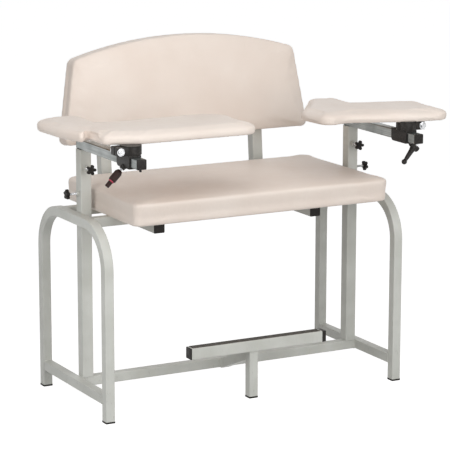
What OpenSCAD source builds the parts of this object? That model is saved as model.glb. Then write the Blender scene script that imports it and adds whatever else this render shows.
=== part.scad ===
// Wide blood-draw chair: two bent tube arches, a low crossbar with a footrest, two
// hollow posts, a padded seat and back, and on each side an arm rest pad that rises
// in the post, runs along its arm tube and swivels on a collar.
// Millimetres. X runs across the chair, Y to the rear, Z up. The origin lies on the
// floor in the middle of the frame. Left and right are as seen from the front.

/* [Frame] */
// Depth over the legs of a side arch
frame_d = 525; // [500:5:600]
// Height of the side arches
frame_h = 640; // [600:5:700]
// Side of the square frame tube
tube_w = 31.75; // [30:0.25:33]
// Wall of every square tube
tube_wall = 1.9; // [1.2:0.1:2.4]
// Corner radius of every square tube
tube_corner_r = 3; // [2.6:0.1:4]
// Inside radius of the bends of an arch
arch_bend_r = 120; // [90:5:130]
// Height of the underside of the low rails
rail_z = 58; // [45:1:90]
// Distance of the two seat rails from the middle of the chair
seat_rail_y = 100; // [60:1:105]

/* [Posts and arms] */
// Side of the square tube of the posts, the back tubes and the footrest
post_w = 38.1; // [37:0.1:40]
// Height of the top of the posts
post_top_z = 845.4; // [830:0.2:870]
// Length of the inner post that rises in each post
slide_l = 290; // [260:5:320]
// Length of an arm tube with its front stop
arm_l = 449; // [430:1:480]
// Length of the black stop at the front of an arm tube
arm_stop_l = 6; // [5:1:10]
// Height of the lower star knob
lower_knob_z = 701; // [680:1:710]
// Height of the upper star knob
upper_knob_z = 785; // [765:1:800]

/* [Arm clamps] */
// Length of a clamp block along its arm tube
block_l = 90; // [85:1:100]
// Wall of a clamp block round its arm tube
block_wall = 5; // [4:0.5:7]
// Distance from the front of the arm to the front of the clamp block
block_set = 48; // [44:1:60]
// Distance of the collar's axis from the front of the clamp block
collar_set = 31; // [28:1:45]
// Diameter of the collar
collar_d = 68; // [60:1:72]
// Height of the collar
collar_h = 26; // [24:1:34]
// Diameter of the swivel pin
pin_d = 25; // [20:1:28]

/* [Seat] */
// Width of the seat cushion
seat_w = 948; // [860:2:960]
// Depth of the seat cushion
seat_d = 555; // [500:1:580]
// Distance of the seat's front from the middle of the chair
seat_front = 322; // [300:1:330]
// Gap between the seat cushion and each post
seat_side_gap = 8.65; // [6:0.05:60]
// Height of the seat cushion at its crown
seat_t = 77; // [66:1:90]
// Thickness of the seat, back and pad boards
board_t = 12.7; // [9:0.1:16]

/* [Backrest] */
// Width of the backrest at its bottom
back_w = 950; // [900:2:960]
// Width of the backrest at its shoulders
back_top_w = 852; // [800:2:880]
// Height of the backrest at its top
back_h = 362; // [340:2:390]
// Height of the shoulders of the backrest
back_shoulder_h = 297; // [280:1:310]
// Thickness of the backrest at its crown
back_t = 78; // [66:1:90]
// Height of the backrest's lower edge above the floor
back_z = 802; // [790:1:830]
// Distance of the rear of the backrest behind the rear of the seat
back_set = 47; // [42:1:70]
// Lean of the backrest
recline = 5.2; // [3:0.1:8]
// Distance of the back tubes from the middle of the chair
back_tube_x = 292; // [240:1:330]
// Distance of the front ends of the back tubes from the middle
back_tube_front = 122; // [118:1:140]
// Inside radius of the bends of the back tubes
back_bend_r = 60; // [50:1:75]

/* [Arm pads] */
// Width of the left pad across the chair
left_pad_l = 614; // [580:2:640]
// Depth of the left pad with its elbow rest
left_pad_d = 458; // [430:2:470]
// Width of the right pad across the chair
right_pad_l = 462; // [430:2:490]
// Depth of the right pad with its elbow rest
right_pad_d = 450; // [430:2:470]
// Thickness of a pad at its crown
pad_t = 36; // [32:1:44]

/* [Footrest] */
// Height of the underside of the footrest bar
footrest_z = 160; // [140:1:200]
// Distance of the footrest bar's centre line from the middle
footrest_y = 204; // [180:1:230]
// Length of the footrest bar without its end caps
footrest_l = 491; // [440:1:520]
// Place of the bar's right end beside the middle of the chair
footrest_right = 266; // [230:1:290]
// Place of the middle leg beside the middle of the chair
middle_leg_x = 6.5; // [-40:0.5:40]

/* [Hidden] */
$fn = 48;

// Colours of the painted frame, the bright steel, the black parts, the vinyl, the
// boards and the red ring
paint = "#c9c9c0";
steel = "#b9bcbf";
black = "#26221f";
vinyl = "#e2d3c8";
wood = "#c9a877";
red = "#c8505a";

// Cuts run past the faces that they open by this much
overrun = 1;
// Gap of a sliding or turning piece to what carries it
seat_gap = 0.3;
// Radial clearance of a screw or pin in its bore
bore_gap = 0.05;
// Play of a plug in its tube on each side
plug_gap = 0.3;
// A leaning tube laps into its bend by the first and is slimmer by the second on each
// side, so that both make one piece with no shared faces
bend_lap = 0.5;
bend_step = 0.02;

// Radii of the machine screws: the knobs' and clamps', the collars', the boards'
screw_r = 4;
bolt_r = 5;
board_screw_r = 3;

// Foot tips: height below the tube, how far they reach into it, and their overhang
foot_h = 6;
foot_plug_l = 14;
foot_lip = 0.8;
// Thickness of a black end plate, the depth of its plug, and the thick right stop of
// the footrest
cap_h = 3;
plug_l = 20;
footrest_stop_h = 15;
// Rubber strip on the footrest: thickness, width and its distance from the bar's ends
grip_t = 1.5;
grip_w = 30;
grip_end = 6;

// Plan places that follow the sizes above
frame_w = seat_w + 2 * (seat_side_gap + post_w + tube_w);
back_y = seat_d - seat_front + back_set;
arch_x = frame_w / 2 - tube_w / 2;
inner_x = frame_w / 2 - tube_w;
post_x = inner_x - post_w / 2;
leg_y = frame_d / 2 - tube_w / 2;
arch_spring_z = frame_h - tube_w - arch_bend_r;
arch_flat = leg_y - arch_bend_r - tube_w / 2;
arm_z = post_top_z + seat_gap;
arm_rear_y = post_w / 2;
arm_front_y = arm_rear_y - arm_l;
post_bore_gap = (post_w - 2 * tube_wall - tube_w) / 2;

// Star knobs: the screw nut on the post, the free thread, the knob's body and lobes
nut_r = 8;
nut_l = 8;
knob_set = 32;
knob_t = 15;
knob_hub_r = 10;
knob_lobe_r = 5.5;
knob_lobe_set = 11.5;
knob_lobes = 5;
knob_bore_l = 10;

// Clamp block: its places, its round rear corner and the boss of its clamp screw
block_front_y = arm_front_y + block_set;
block_rear_y = block_front_y + block_l;
block_mid_y = (block_front_y + block_rear_y) / 2;
block_half = tube_w / 2 + seat_gap + block_wall;
block_top_z = arm_z + tube_w + seat_gap + block_wall;
block_corner_r = 12;
boss_r = 9;
boss_l = 13;
// The clamp screw points at the tube's lower outer edge at this angle
clamp_angle = 135;
// The rounded edge of a tube lies this far under its sharp corner
corner_sink = tube_corner_r * (sqrt(2) - 1);

// Collar: its axis, its two ears with a slit, and the hex bolt through them
collar_y = block_front_y + collar_set;
collar_top_z = block_top_z + collar_h;
ear_reach = 22;
ear_w = 54;
slit_w = 4;
bolt_set = 10;
bolt_flats = 17;
bolt_head_h = 6.5;
washer_r = 10.5;
washer_t = 2;

// Left clamp handle, measured along its axis from the tube's edge
grip_set = 20;
grip_l = 42;
grip_r = 12.5;
grip_neck_r = 8;
grip_taper_l = 9;
ring_l = 4;
ring_r = 9;
tip_r = 7.5;
tip_l = 20;
// Right clamp lever: hub, arm and ball
lever_set = 18;
hub_r = 10;
hub_l = 36;
lever_l = 61;
lever_tilt = 7;
lever_root_r = 8.5;
lever_end_r = 7;
neck_l = 4;
neck_r = 5.6;
ball_r = 9.2;
stud_bore_l = 16;

// Stop screw under the front of an arm
stop_screw_l = 8;
stop_screw_in = 6;
stop_screw_set = 12;

// Pads: the plate on the swivel pin and the height of the pads
plate_t = 3;
pad_z = collar_top_z + seat_gap + plate_t;

// Soft forms: the board's cover lip, and the play round the board
lip_w = 10;
board_gap = 0.3;
// Share of a convex round that a drawn-in outline may use, and of a hollow one
convex_share = 0.9;
hollow_share = 2;
// Steps in the round of a corner, in the roll of an edge and up a side
corner_steps = 6;
roll_steps = 5;
side_steps = 3;
// Sizes of the crowned rings inside the rolled edge, as shares of the outline
crown_shares = [0.86, 0.68, 0.46, 0.2];

// Seat: corner rounds, straight side, rolled edge and drawn-in lower edge
seat_corner_r = 36;
seat_side_h = 56;
seat_roll_w = 30;
seat_roll_h = 15;
seat_draw = 20;
seat_lip_w = 26;
seat_screw_x = 180;
screw_in = 9;
screw_head_r = 6.5;
screw_head_h = 4;

// Backrest: corner rounds, sides and the height of its tubes and screws
back_corner_r = 27;
back_shoulder_r = 36;
back_side_h = 52;
back_roll_w = 24;
back_roll_h = 13;
back_draw = 4;
back_apex_share = 1.85;
back_arc_steps = 18;
back_tube_share = 0.78;
back_screw_shares = [0.18, 0.62];

// Pads: sides and rolled edge
pad_side_h = 17;
pad_roll_w = 30;
pad_draw = 4;

// Corners of the left pad from the swivel axis: place across and to the rear, and
// round, as shares of the pad's width, depth and depth
left_pad_shares = [
    [0.749, -0.024, 0.120],
    [0.749, 0.583, 0.218],
    [0.029, 0.550, 0.066],
    [0.042, 0.980, 0.131],
    [-0.261, 0.980, 0.207],
    [-0.245, 0.496, 0.175],
    [-0.189, 0.146, 0.030],
    [-0.137, 0.343, 0.013],
    [-0.128, 0.070, 0.055],
    [0.043, -0.020, 0.131]];
// The left pad's caps are cut in two at its hollow corners
left_pad_cut_shares = [[7, 2, 9, 0.8], [2, 7, 4, 0.8]];
// Corners and cuts of the right pad from its swivel axis, in the same way
right_pad_shares = [
    [-0.636, 0.038, 0.100],
    [-0.415, 0.091, 0.133],
    [-0.004, -0.078, 0.444],
    [0.321, -0.122, 0.100],
    [0.351, 0.387, 0.067],
    [-0.108, 0.540, 0.056],
    [-0.099, 0.860, 0.078],
    [-0.307, 0.891, 0.078],
    [-0.662, 0.389, 0.133]];
right_pad_cut_shares = [[5, 1, 8, 0], [1, 5, 4, 0]];

// Outline work: an outline is a list of [x, y, round], counter-clockwise

function unit(v) = v / norm(v);

// Centre, start angle, turn and radius of the round at corner i
function corner_round(outline, i) =
    let (n = len(outline),
         before = outline[(i + n - 1) % n],
         here = outline[i],
         after = outline[(i + 1) % n],
         u = unit([here.x - before.x, here.y - before.y]),
         v = unit([after.x - here.x, after.y - here.y]),
         turn = atan2(u.x * v.y - u.y * v.x, u * v),
         start = [here.x, here.y] - u * here.z * tan(abs(turn) / 2),
         centre = start + sign(turn) * here.z * [-u.y, u.x],
         arm = start - centre)
    [centre, atan2(arm.y, arm.x), turn, here.z];

// Radius of a round once its outline is drawn in by some inset
function drawn_radius(radius, turn, inset) = turn > 0
    ? radius - min(inset, convex_share * radius)
    : radius + min(inset, hollow_share * radius);

// Steps along a round: the long arch of the backrest takes more
function round_steps(radius) = radius > back_w ? back_arc_steps : corner_steps;

// Points of an outline drawn in by an inset, at one height
function ring(outline, inset, z) = [
    for (i = [0:len(outline) - 1])
        let (c = corner_round(outline, i),
             r = drawn_radius(c[3], c[2], inset),
             steps = round_steps(c[3]))
        for (k = [0:steps])
            let (a = c[1] + c[2] * k / steps)
            [c[0].x + r * cos(a), c[0].y + r * sin(a), z]];

// A ring shrunk towards a point and lifted to a height
function shrunk(points, centre, share, z) = [
    for (p = points)
        [centre.x + (p.x - centre.x) * share, centre.y + (p.y - centre.y) * share, z]];

// Rings up the outside of a cushion: a recess for its board, a flat lip, a drawn-in
// side, a rolled edge, and crowned rings where the outline is a simple one
function cushion_rings(outline, lip, side_h, roll_w, roll_h, draw, crown, centre) =
    let (roll_ring = ring(outline, roll_w, side_h + roll_h))
    [ring(outline, lip, board_t),
     ring(outline, lip, 0),
     for (k = [0:side_steps])
         ring(outline, draw * (1 - sin(90 * k / side_steps)), side_h * k / side_steps),
     for (k = [1:roll_steps])
         let (a = 90 * k / roll_steps)
         ring(outline, roll_w * (1 - cos(a)), side_h + roll_h * sin(a)),
     if (crown > 0)
         for (s = crown_shares)
             shrunk(roll_ring, centre, s, side_h + roll_h + crown * (1 - s * s))];

// Ring point at some share of a corner's round
function corner_point(corner, share) =
    corner * (corner_steps + 1) + round(share * corner_steps);

// Triangles of one part of a cap with n points: it runs from one corner to another,
// and they all meet at the start of a third. A cut is these corners, and the share of
// the first two's rounds at which it lies.
function cap_part(n, cut) =
    let (from = corner_point(cut[0], cut[3]),
         m = (corner_point(cut[1], cut[3]) - from + n) % n + 1,
         tip = (corner_point(cut[2], 0) - from + n) % n)
    [for (k = [1:m - 2])
        [for (step = [0, k, k + 1]) (from + (tip + step) % m) % n]];

// Faces of a cap: one face, or the triangles of its parts where it has hollow corners
function cap_faces(n, cuts) = len(cuts) == 0
    ? [[for (i = [0:n - 1]) i]]
    : [for (c = cuts) each cap_part(n, c)];

// Closed surface through a stack of rings with as many points each
module loft(rings, cuts = []) {
    n = len(rings[0]);
    top = len(rings) - 1;
    polyhedron(
        points = [for (r = rings) each r],
        faces = [
            each cap_faces(n, cuts),
            for (f = cap_faces(n, cuts))
                [for (i = [len(f) - 1:-1:0]) top * n + f[i]],
            for (j = [0:top - 1])
                for (i = [0:n - 1])
                    [j * n + i, (j + 1) * n + i, (j + 1) * n + (i + 1) % n],
            for (j = [0:top - 1])
                for (i = [0:n - 1])
                    [j * n + i, (j + 1) * n + (i + 1) % n, j * n + (i + 1) % n]]);
}

// Flat board that fills a cushion's recess
module board(outline, lip) {
    flat = [for (p = ring(outline, lip + board_gap, 0)) [p.x, p.y]];
    linear_extrude(board_t) polygon(flat);
}

// Square with round corners
module round_square(w, r) {
    square([w, w - 2 * r], center = true);
    square([w - 2 * r, w], center = true);
    for (x = [-1, 1], y = [-1, 1])
        translate([x, y] * (w / 2 - r)) circle(r);
}

// Section of a square tube
module tube_section(w) {
    difference() {
        round_square(w, tube_corner_r);
        round_square(w - 2 * tube_wall, tube_corner_r - tube_wall);
    }
}

// Straight square tubes along each axis, from their start point
module tube_x(w, l) rotate([0, 90, 0]) linear_extrude(l) tube_section(w);
module tube_y(w, l) rotate([-90, 0, 0]) linear_extrude(l) tube_section(w);
module tube_z(w, l) linear_extrude(l) tube_section(w);

// Bend of a square tube round the local Z axis, from its inside radius
module tube_bend(w, inside_r, angle)
    rotate_extrude(angle = angle, $fn = 96)
        translate([inside_r + w / 2, 0]) tube_section(w);

// Black end plate with its plug, along +Z out of a tube that ends at zero
module end_cap(w, h, depth) {
    linear_extrude(h) round_square(w, tube_corner_r);
    plug_w = w - 2 * tube_wall - 2 * plug_gap;
    translate([-plug_w / 2, -plug_w / 2, -depth]) cube([plug_w, plug_w, depth]);
}

// Machine screw along +Z: round head below zero, shank above it
module board_screw(l) {
    translate([0, 0, -screw_head_h]) cylinder(h = screw_head_h, r = screw_head_r);
    cylinder(h = l, r = board_screw_r);
}

// Bent side arch, drawn flat and stood up in its plane
module arch(side) {
    translate([side * arch_x, 0, 0]) rotate([90, 0, 90]) {
        for (s = [-1, 1]) {
            translate([s * leg_y, foot_h, 0]) tube_y(tube_w, arch_spring_z - foot_h);
            translate([s * arch_flat, arch_spring_z, 0])
                mirror([s < 0 ? 1 : 0, 0, 0]) tube_bend(tube_w, arch_bend_r, 90);
        }
        translate([-arch_flat, frame_h - tube_w / 2, 0]) tube_x(tube_w, 2 * arch_flat);
    }
}

module side_rail(side) {
    translate([side * arch_x, -leg_y + tube_w / 2, rail_z + tube_w / 2])
        tube_y(tube_w, 2 * leg_y - tube_w);
}

// Hollow post with the holes of its two knob screws
module post(side) {
    difference() {
        translate([side * post_x, 0, rail_z + tube_w])
            tube_z(post_w, post_top_z - rail_z - tube_w);
        lower_knob_place(side) screw_hole();
        upper_knob_place(side) screw_hole();
    }
}

module screw_hole()
    translate([0, 0, -tube_wall - overrun])
        cylinder(h = tube_wall + 2 * overrun, r = screw_r + bore_gap);

// Seat rail with the through holes of its two seat screws
module seat_rail(y) {
    difference() {
        translate([-inner_x, y, frame_h - tube_w / 2]) tube_x(tube_w, 2 * inner_x);
        for (x = [-seat_screw_x, seat_screw_x])
            translate([x, y, frame_h - tube_w - overrun])
                cylinder(h = tube_w + 2 * overrun, r = board_screw_r + bore_gap);
    }
}

// Frame of the backrest: its rear face is y = 0, and z runs up its lean
module on_back() translate([0, back_y, back_z]) rotate([-recline, 0, 0]) children();

back_tube_z = frame_h - tube_w - post_w / 2;
back_tube_r = back_bend_r + post_w / 2;
// The bend's centre lies where the upright's front face meets the rear of the back
back_bend_y = back_y + (post_w / 2 - back_tube_r
    + (back_tube_z + back_tube_r - back_z) * sin(recline)) / cos(recline);
back_bend_z = back_tube_z + back_tube_r;
// Height along the lean at which the upright starts, and its top
back_upright_start = (back_bend_y - back_y) * sin(recline)
    + (back_bend_z - back_z) * cos(recline);
back_upright_top = back_h * back_tube_share;

// L-shaped back tube: a level leg under the seat rails and an upright behind the back
module back_tube(side) {
    difference() {
        translate([side * back_tube_x, 0, 0]) {
            translate([0, -back_tube_front, back_tube_z])
                tube_y(post_w, back_tube_front + back_bend_y);
            translate([0, back_bend_y, back_bend_z])
                rotate([90, 0, 90]) rotate([0, 0, -90])
                    tube_bend(post_w, back_bend_r, 90 - recline);
            on_back() translate([0, post_w / 2, back_upright_start - bend_lap])
                tube_z(post_w - 2 * bend_step,
                    back_upright_top - back_upright_start + bend_lap);
        }
        back_screw_places(side) cylinder(h = post_w + overrun, r = board_screw_r + bore_gap);
    }
}

// Places of the back screws: +Z runs forward through the upright from its rear face
module back_screw_places(side)
    for (share = back_screw_shares)
        on_back() translate([side * back_tube_x, post_w, back_h * share])
            rotate([90, 0, 0]) children();

// Low parts of the footrest
footrest_left = footrest_right - footrest_l;
leg_rear_y = -footrest_y + tube_w / 2;
// The strut climbs from the crossbar to the underside of the footrest
strut_run = -tube_w / 2 - leg_rear_y;
strut_rise = footrest_z - rail_z - tube_w;
strut_slope = atan(strut_rise / strut_run);
strut_h = tube_w / cos(strut_slope);
strut_wall_h = tube_wall / cos(strut_slope);

module strut_shape(drop, h, w) {
    rotate([90, 0, 90]) translate([0, 0, -w / 2]) linear_extrude(w)
        polygon([
            [-tube_w / 2, rail_z + tube_w - drop],
            [leg_rear_y, footrest_z - drop],
            [leg_rear_y, footrest_z - drop - h],
            [-tube_w / 2, rail_z + tube_w - drop - h]]);
}

// Places of the knobs: +Z runs out of the post's face
module lower_knob_place(side)
    translate([side * (post_x + post_w / 2), 0, lower_knob_z])
        rotate([0, side * 90, 0]) children();
module upper_knob_place(side)
    translate([side * post_x, -post_w / 2, upper_knob_z])
        rotate([90, 0, 0]) children();

// Threaded nut welded on the post
module knob_nut() {
    difference() {
        cylinder(h = nut_l, r = nut_r);
        translate([0, 0, -overrun])
            cylinder(h = nut_l + 2 * overrun, r = screw_r + bore_gap);
    }
}

module knob_screw() {
    tip = tube_wall + post_bore_gap - seat_gap;
    translate([0, 0, -tip]) cylinder(h = tip + knob_set + knob_bore_l, r = screw_r);
}

// Five-lobed knob with a blind hole for its screw
module star_knob() {
    difference() {
        translate([0, 0, knob_set]) {
            cylinder(h = knob_t, r = knob_hub_r);
            for (i = [0:knob_lobes - 1])
                rotate([0, 0, 360 * i / knob_lobes]) translate([knob_lobe_set, 0, 0])
                    cylinder(h = knob_t, r = knob_lobe_r);
        }
        translate([0, 0, knob_set - overrun])
            cylinder(h = knob_bore_l + overrun, r = screw_r + bore_gap);
    }
}

module slide_post(side)
    translate([side * post_x, 0, arm_z - slide_l]) tube_z(tube_w, slide_l);

module arm_tube(side) {
    difference() {
        translate([side * post_x, arm_front_y + arm_stop_l, arm_z + tube_w / 2])
            tube_y(tube_w, arm_l - arm_stop_l);
        stop_bore(side);
    }
}

module arm_plug(side)
    translate([side * post_x, arm_rear_y, arm_z + tube_w / 2])
        rotate([-90, 0, 0]) end_cap(tube_w, cap_h, plug_l);

// Bore of the stop screw, up through the tube's lower wall into the stop's plug
module stop_bore(side)
    translate([side * post_x, arm_front_y + stop_screw_set, arm_z - overrun])
        cylinder(h = stop_screw_in + overrun, r = screw_r + bore_gap);

// Black stop in the front end of the arm, bored from below for its screw
module arm_stop(side) {
    difference() {
        translate([side * post_x, arm_front_y + arm_stop_l, arm_z + tube_w / 2])
            rotate([90, 0, 0]) end_cap(tube_w, arm_stop_l, plug_l);
        stop_bore(side);
    }
}

module stop_screw(side)
    translate([side * post_x, arm_front_y + stop_screw_set, arm_z - stop_screw_l])
        cylinder(h = stop_screw_l + stop_screw_in, r = screw_r);

// Axis of a clamp screw: +Z runs outwards and down from the tube's lower outer edge
module clamp_place(side)
    translate([side * (post_x + tube_w / 2), block_mid_y, arm_z])
        rotate([0, side * clamp_angle, 0]) children();

// Clamp block round the arm tube, with a round lower rear corner and a screw boss
module clamp_block(side) {
    bore_half = tube_w / 2 + seat_gap;
    mid_z = arm_z + tube_w / 2;
    difference() {
        union() {
            translate([side * post_x - block_half, 0, 0])
                rotate([90, 0, 90]) linear_extrude(2 * block_half) block_outline();
            clamp_place(side) cylinder(h = boss_l, r = boss_r);
        }
        translate([side * post_x - bore_half, block_front_y - overrun, mid_z - bore_half])
            cube([2 * bore_half, block_l + 2 * overrun, 2 * bore_half]);
        clamp_place(side) translate([0, 0, -overrun])
            cylinder(h = boss_l + 2 * overrun, r = screw_r + bore_gap);
    }
}

// Side view of the clamp block in depth and height
module block_outline() {
    bottom = block_top_z - 2 * block_half;
    difference() {
        translate([block_front_y, bottom]) square([block_l, 2 * block_half]);
        translate([block_rear_y - block_corner_r, bottom - overrun])
            square([block_corner_r + overrun, block_corner_r + overrun]);
    }
    translate([block_rear_y - block_corner_r, bottom + block_corner_r])
        circle(block_corner_r);
}

// Split collar with two ears on its outer side
module collar(side) {
    ear_x = collar_d / 2 + ear_reach;
    difference() {
        translate([side * post_x, collar_y, block_top_z]) {
            cylinder(h = collar_h, r = collar_d / 2);
            translate([side < 0 ? -ear_x : 0, -ear_w / 2, 0])
                cube([ear_x, ear_w, collar_h]);
        }
        translate([side * post_x, collar_y, block_top_z - overrun])
            cylinder(h = collar_h + 2 * overrun, r = pin_d / 2 + bore_gap);
        translate([side * post_x + (side < 0 ? -ear_x - overrun : 0),
                   collar_y - slit_w / 2, block_top_z - overrun])
            cube([ear_x + overrun, slit_w, collar_h + 2 * overrun]);
        bolt_place(side) translate([0, 0, -ear_w / 2 - overrun])
            cylinder(h = ear_w + 2 * overrun, r = bolt_r + bore_gap);
    }
}

// Middle of the collar's bolt: +Z runs to the front
module bolt_place(side)
    translate([side * (post_x + collar_d / 2 + ear_reach - bolt_set), collar_y,
               block_top_z + collar_h / 2])
        rotate([90, 0, 0]) children();

module hex(h) cylinder(h = h, r = bolt_flats / 2 / cos(30), $fn = 6);

// Hex bolt with a washer under its head and a nut at the rear
module collar_bolt(side) {
    bolt_place(side) {
        translate([0, 0, -ear_w / 2 - bolt_head_h])
            cylinder(h = ear_w + bolt_head_h + washer_t, r = bolt_r);
        translate([0, 0, ear_w / 2]) cylinder(h = washer_t, r = washer_r);
        translate([0, 0, ear_w / 2 + washer_t]) hex(bolt_head_h);
        translate([0, 0, -ear_w / 2 - bolt_head_h]) hex(bolt_head_h);
    }
}

// Steel plate under a pad with its swivel pin
module pad_plate(side) {
    translate([side * post_x, collar_y, 0]) {
        translate([0, 0, pad_z - plate_t]) cylinder(h = plate_t, r = collar_d / 2);
        translate([0, 0, block_top_z + seat_gap])
            cylinder(h = pad_z - block_top_z - seat_gap, r = pin_d / 2);
    }
}

function pad_outline(shares, l, d) = [for (s = shares) [s.x * l, s.y * d, s.z * d]];
left_pad_outline = pad_outline(left_pad_shares, left_pad_l, left_pad_d);
right_pad_outline = pad_outline(right_pad_shares, right_pad_l, right_pad_d);

module pad_place(side) translate([side * post_x, collar_y, pad_z]) children();

module pad_cushion(outline, cuts)
    loft(cushion_rings(outline, lip_w, pad_side_h, pad_roll_w, pad_t - pad_side_h, pad_draw, 0),
        cuts);

// Stud of a clamp, from its tip at the tube's edge to inside its handle
module clamp_stud(set) {
    tip = seat_gap - corner_sink;
    translate([0, 0, tip]) cylinder(h = set + stud_bore_l - tip, r = screw_r);
}

// Turned left grip with a tapered neck, a seat for the ring and a thin tip
module grip_body() {
    neck = grip_set + grip_taper_l;
    ring_z = grip_set + grip_l;
    end = ring_z + ring_l + tip_l;
    difference() {
        rotate_extrude() polygon([
            [0, grip_set],
            [grip_neck_r, grip_set],
            [grip_r, neck],
            [grip_r, ring_z - tube_wall],
            [grip_r - tube_wall, ring_z],
            [tip_r, ring_z],
            [tip_r, end - tube_wall],
            [tip_r - tube_wall, end],
            [0, end]]);
        translate([0, 0, grip_set - overrun])
            cylinder(h = stud_bore_l + overrun, r = screw_r + bore_gap);
    }
}

module ring_body() {
    translate([0, 0, grip_set + grip_l + seat_gap]) difference() {
        cylinder(h = ring_l - seat_gap, r = ring_r);
        translate([0, 0, -overrun])
            cylinder(h = ring_l + 2 * overrun, r = tip_r + bore_gap);
    }
}

// Lever: a hub on the stud and a tapered arm with a ball
module lever_body() {
    arm_l = lever_l - ball_r - neck_l;
    difference() {
        union() {
            translate([0, 0, lever_set]) cylinder(h = hub_l, r = hub_r);
            translate([0, 0, lever_set + hub_l / 2]) rotate([0, 90 - lever_tilt, 0]) {
                cylinder(h = arm_l, r1 = lever_root_r, r2 = lever_end_r);
                translate([0, 0, arm_l]) cylinder(h = neck_l + ball_r, r = neck_r);
                translate([0, 0, lever_l]) sphere(ball_r);
            }
        }
        translate([0, 0, lever_set - overrun])
            cylinder(h = stud_bore_l + overrun, r = screw_r + bore_gap);
    }
}

seat_outline = [
    [-seat_w / 2, -seat_front, seat_corner_r],
    [seat_w / 2, -seat_front, seat_corner_r],
    [seat_w / 2, seat_d - seat_front, seat_corner_r],
    [-seat_w / 2, seat_d - seat_front, seat_corner_r]];
seat_centre = [0, seat_d / 2 - seat_front];

// The arched top is one long round at an apex above the backrest
back_rise = back_h - back_shoulder_h;
back_apex_h = back_shoulder_h + back_apex_share * back_rise;
back_top_slope = atan((back_apex_h - back_shoulder_h) / (back_top_w / 2));
back_arc_r = (back_apex_h - back_h) / (1 / cos(back_top_slope) - 1);
back_outline = [
    [-back_w / 2, 0, back_corner_r],
    [back_w / 2, 0, back_corner_r],
    [back_top_w / 2, back_shoulder_h, back_shoulder_r],
    [0, back_apex_h, back_arc_r],
    [-back_top_w / 2, back_shoulder_h, back_shoulder_r]];
back_centre = [0, back_h / 2];

// Frame

module left_arch() color(paint) arch(-1);
module right_arch() color(paint) arch(1);
module left_side_rail() color(paint) side_rail(-1);
module right_side_rail() color(paint) side_rail(1);

module crossbar()
    color(paint) translate([-inner_x, 0, rail_z + tube_w / 2]) tube_x(tube_w, 2 * inner_x);

module left_post() color(paint) post(-1);
module right_post() color(paint) post(1);
module front_seat_rail() color(paint) seat_rail(-seat_rail_y);
module rear_seat_rail() color(paint) seat_rail(seat_rail_y);
module left_back_tube() color(paint) back_tube(-1);
module right_back_tube() color(paint) back_tube(1);

// Front and top end caps of the two back tubes
module back_tube_caps() {
    color(black) for (side = [-1, 1]) {
        translate([side * back_tube_x, -back_tube_front, back_tube_z])
            rotate([90, 0, 0]) end_cap(post_w, cap_h, plug_l);
        on_back() translate([side * back_tube_x, post_w / 2, back_upright_top])
            end_cap(post_w, cap_h, plug_l);
    }
}

module footrest_bar()
    color(paint) translate([footrest_left, -footrest_y, footrest_z + post_w / 2])
        tube_x(post_w, footrest_l);

module footrest_caps() {
    color(black) translate([0, -footrest_y, footrest_z + post_w / 2]) {
        translate([footrest_left, 0, 0]) rotate([0, -90, 0]) end_cap(post_w, cap_h, plug_l);
        translate([footrest_right, 0, 0]) rotate([0, 90, 0])
            end_cap(post_w, footrest_stop_h, plug_l);
    }
}

// Rubber strip glued along the top of the footrest
module footrest_grip()
    color(black)
        translate([footrest_left + grip_end, -footrest_y - grip_w / 2, footrest_z + post_w])
            cube([footrest_l - 2 * grip_end, grip_w, grip_t]);

module footrest_strut() {
    color(paint) translate([middle_leg_x, 0, 0]) difference() {
        strut_shape(0, strut_h, tube_w);
        strut_bore();
    }
}

// Inside of the strut, run out past both of its ends
module strut_bore()
    intersection() {
        strut_shape(strut_wall_h, strut_h - 2 * strut_wall_h, tube_w - 2 * tube_wall);
        translate([-tube_w / 2, leg_rear_y - overrun, rail_z])
            cube([tube_w, strut_run + 2 * overrun, footrest_z]);
    }

module middle_leg()
    color(paint) translate([middle_leg_x, -footrest_y, foot_h])
        tube_z(tube_w, footrest_z - foot_h);

// Rubber tips of the four arch legs and the middle leg
module foot_tips() {
    places = [
        for (x = [-arch_x, arch_x]) for (y = [-leg_y, leg_y]) [x, y],
        [middle_leg_x, -footrest_y]];
    plug_w = tube_w - 2 * tube_wall - 2 * plug_gap;
    color(black) for (p = places) translate([p.x, p.y, 0]) {
        linear_extrude(foot_h) round_square(tube_w + 2 * foot_lip, tube_corner_r);
        translate([-plug_w / 2, -plug_w / 2, foot_h]) cube([plug_w, plug_w, foot_plug_l]);
    }
}

// Seat

module seat_board()
    color(wood) difference() {
        translate([0, 0, frame_h]) board(seat_outline, seat_lip_w);
        seat_screw_places() translate([0, 0, tube_w - overrun])
            cylinder(h = screw_in + 2 * overrun, r = board_screw_r + bore_gap);
    }

module seat_cushion()
    color(vinyl) translate([0, 0, frame_h])
        loft(cushion_rings(seat_outline, seat_lip_w, seat_side_h, seat_roll_w, seat_roll_h,
            seat_draw, seat_t - seat_side_h - seat_roll_h, seat_centre));

// Places of the seat screws: +Z runs up from the underside of the rails
module seat_screw_places()
    for (x = [-seat_screw_x, seat_screw_x], y = [-seat_rail_y, seat_rail_y])
        translate([x, y, frame_h - tube_w]) children();

module seat_screws() color(steel) seat_screw_places() board_screw(tube_w + screw_in);

// Backrest

module back_board()
    color(wood) difference() {
        on_back() rotate([90, 0, 0]) board(back_outline, lip_w);
        for (side = [-1, 1]) back_screw_places(side) translate([0, 0, post_w - overrun])
            cylinder(h = screw_in + 2 * overrun, r = board_screw_r + bore_gap);
    }

module back_cushion()
    color(vinyl) on_back() rotate([90, 0, 0])
        loft(cushion_rings(back_outline, lip_w, back_side_h, back_roll_w, back_roll_h, back_draw,
            back_t - back_side_h - back_roll_h, back_centre));

module back_screws()
    color(steel) for (side = [-1, 1]) back_screw_places(side) board_screw(post_w + screw_in);

// Arms

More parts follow.
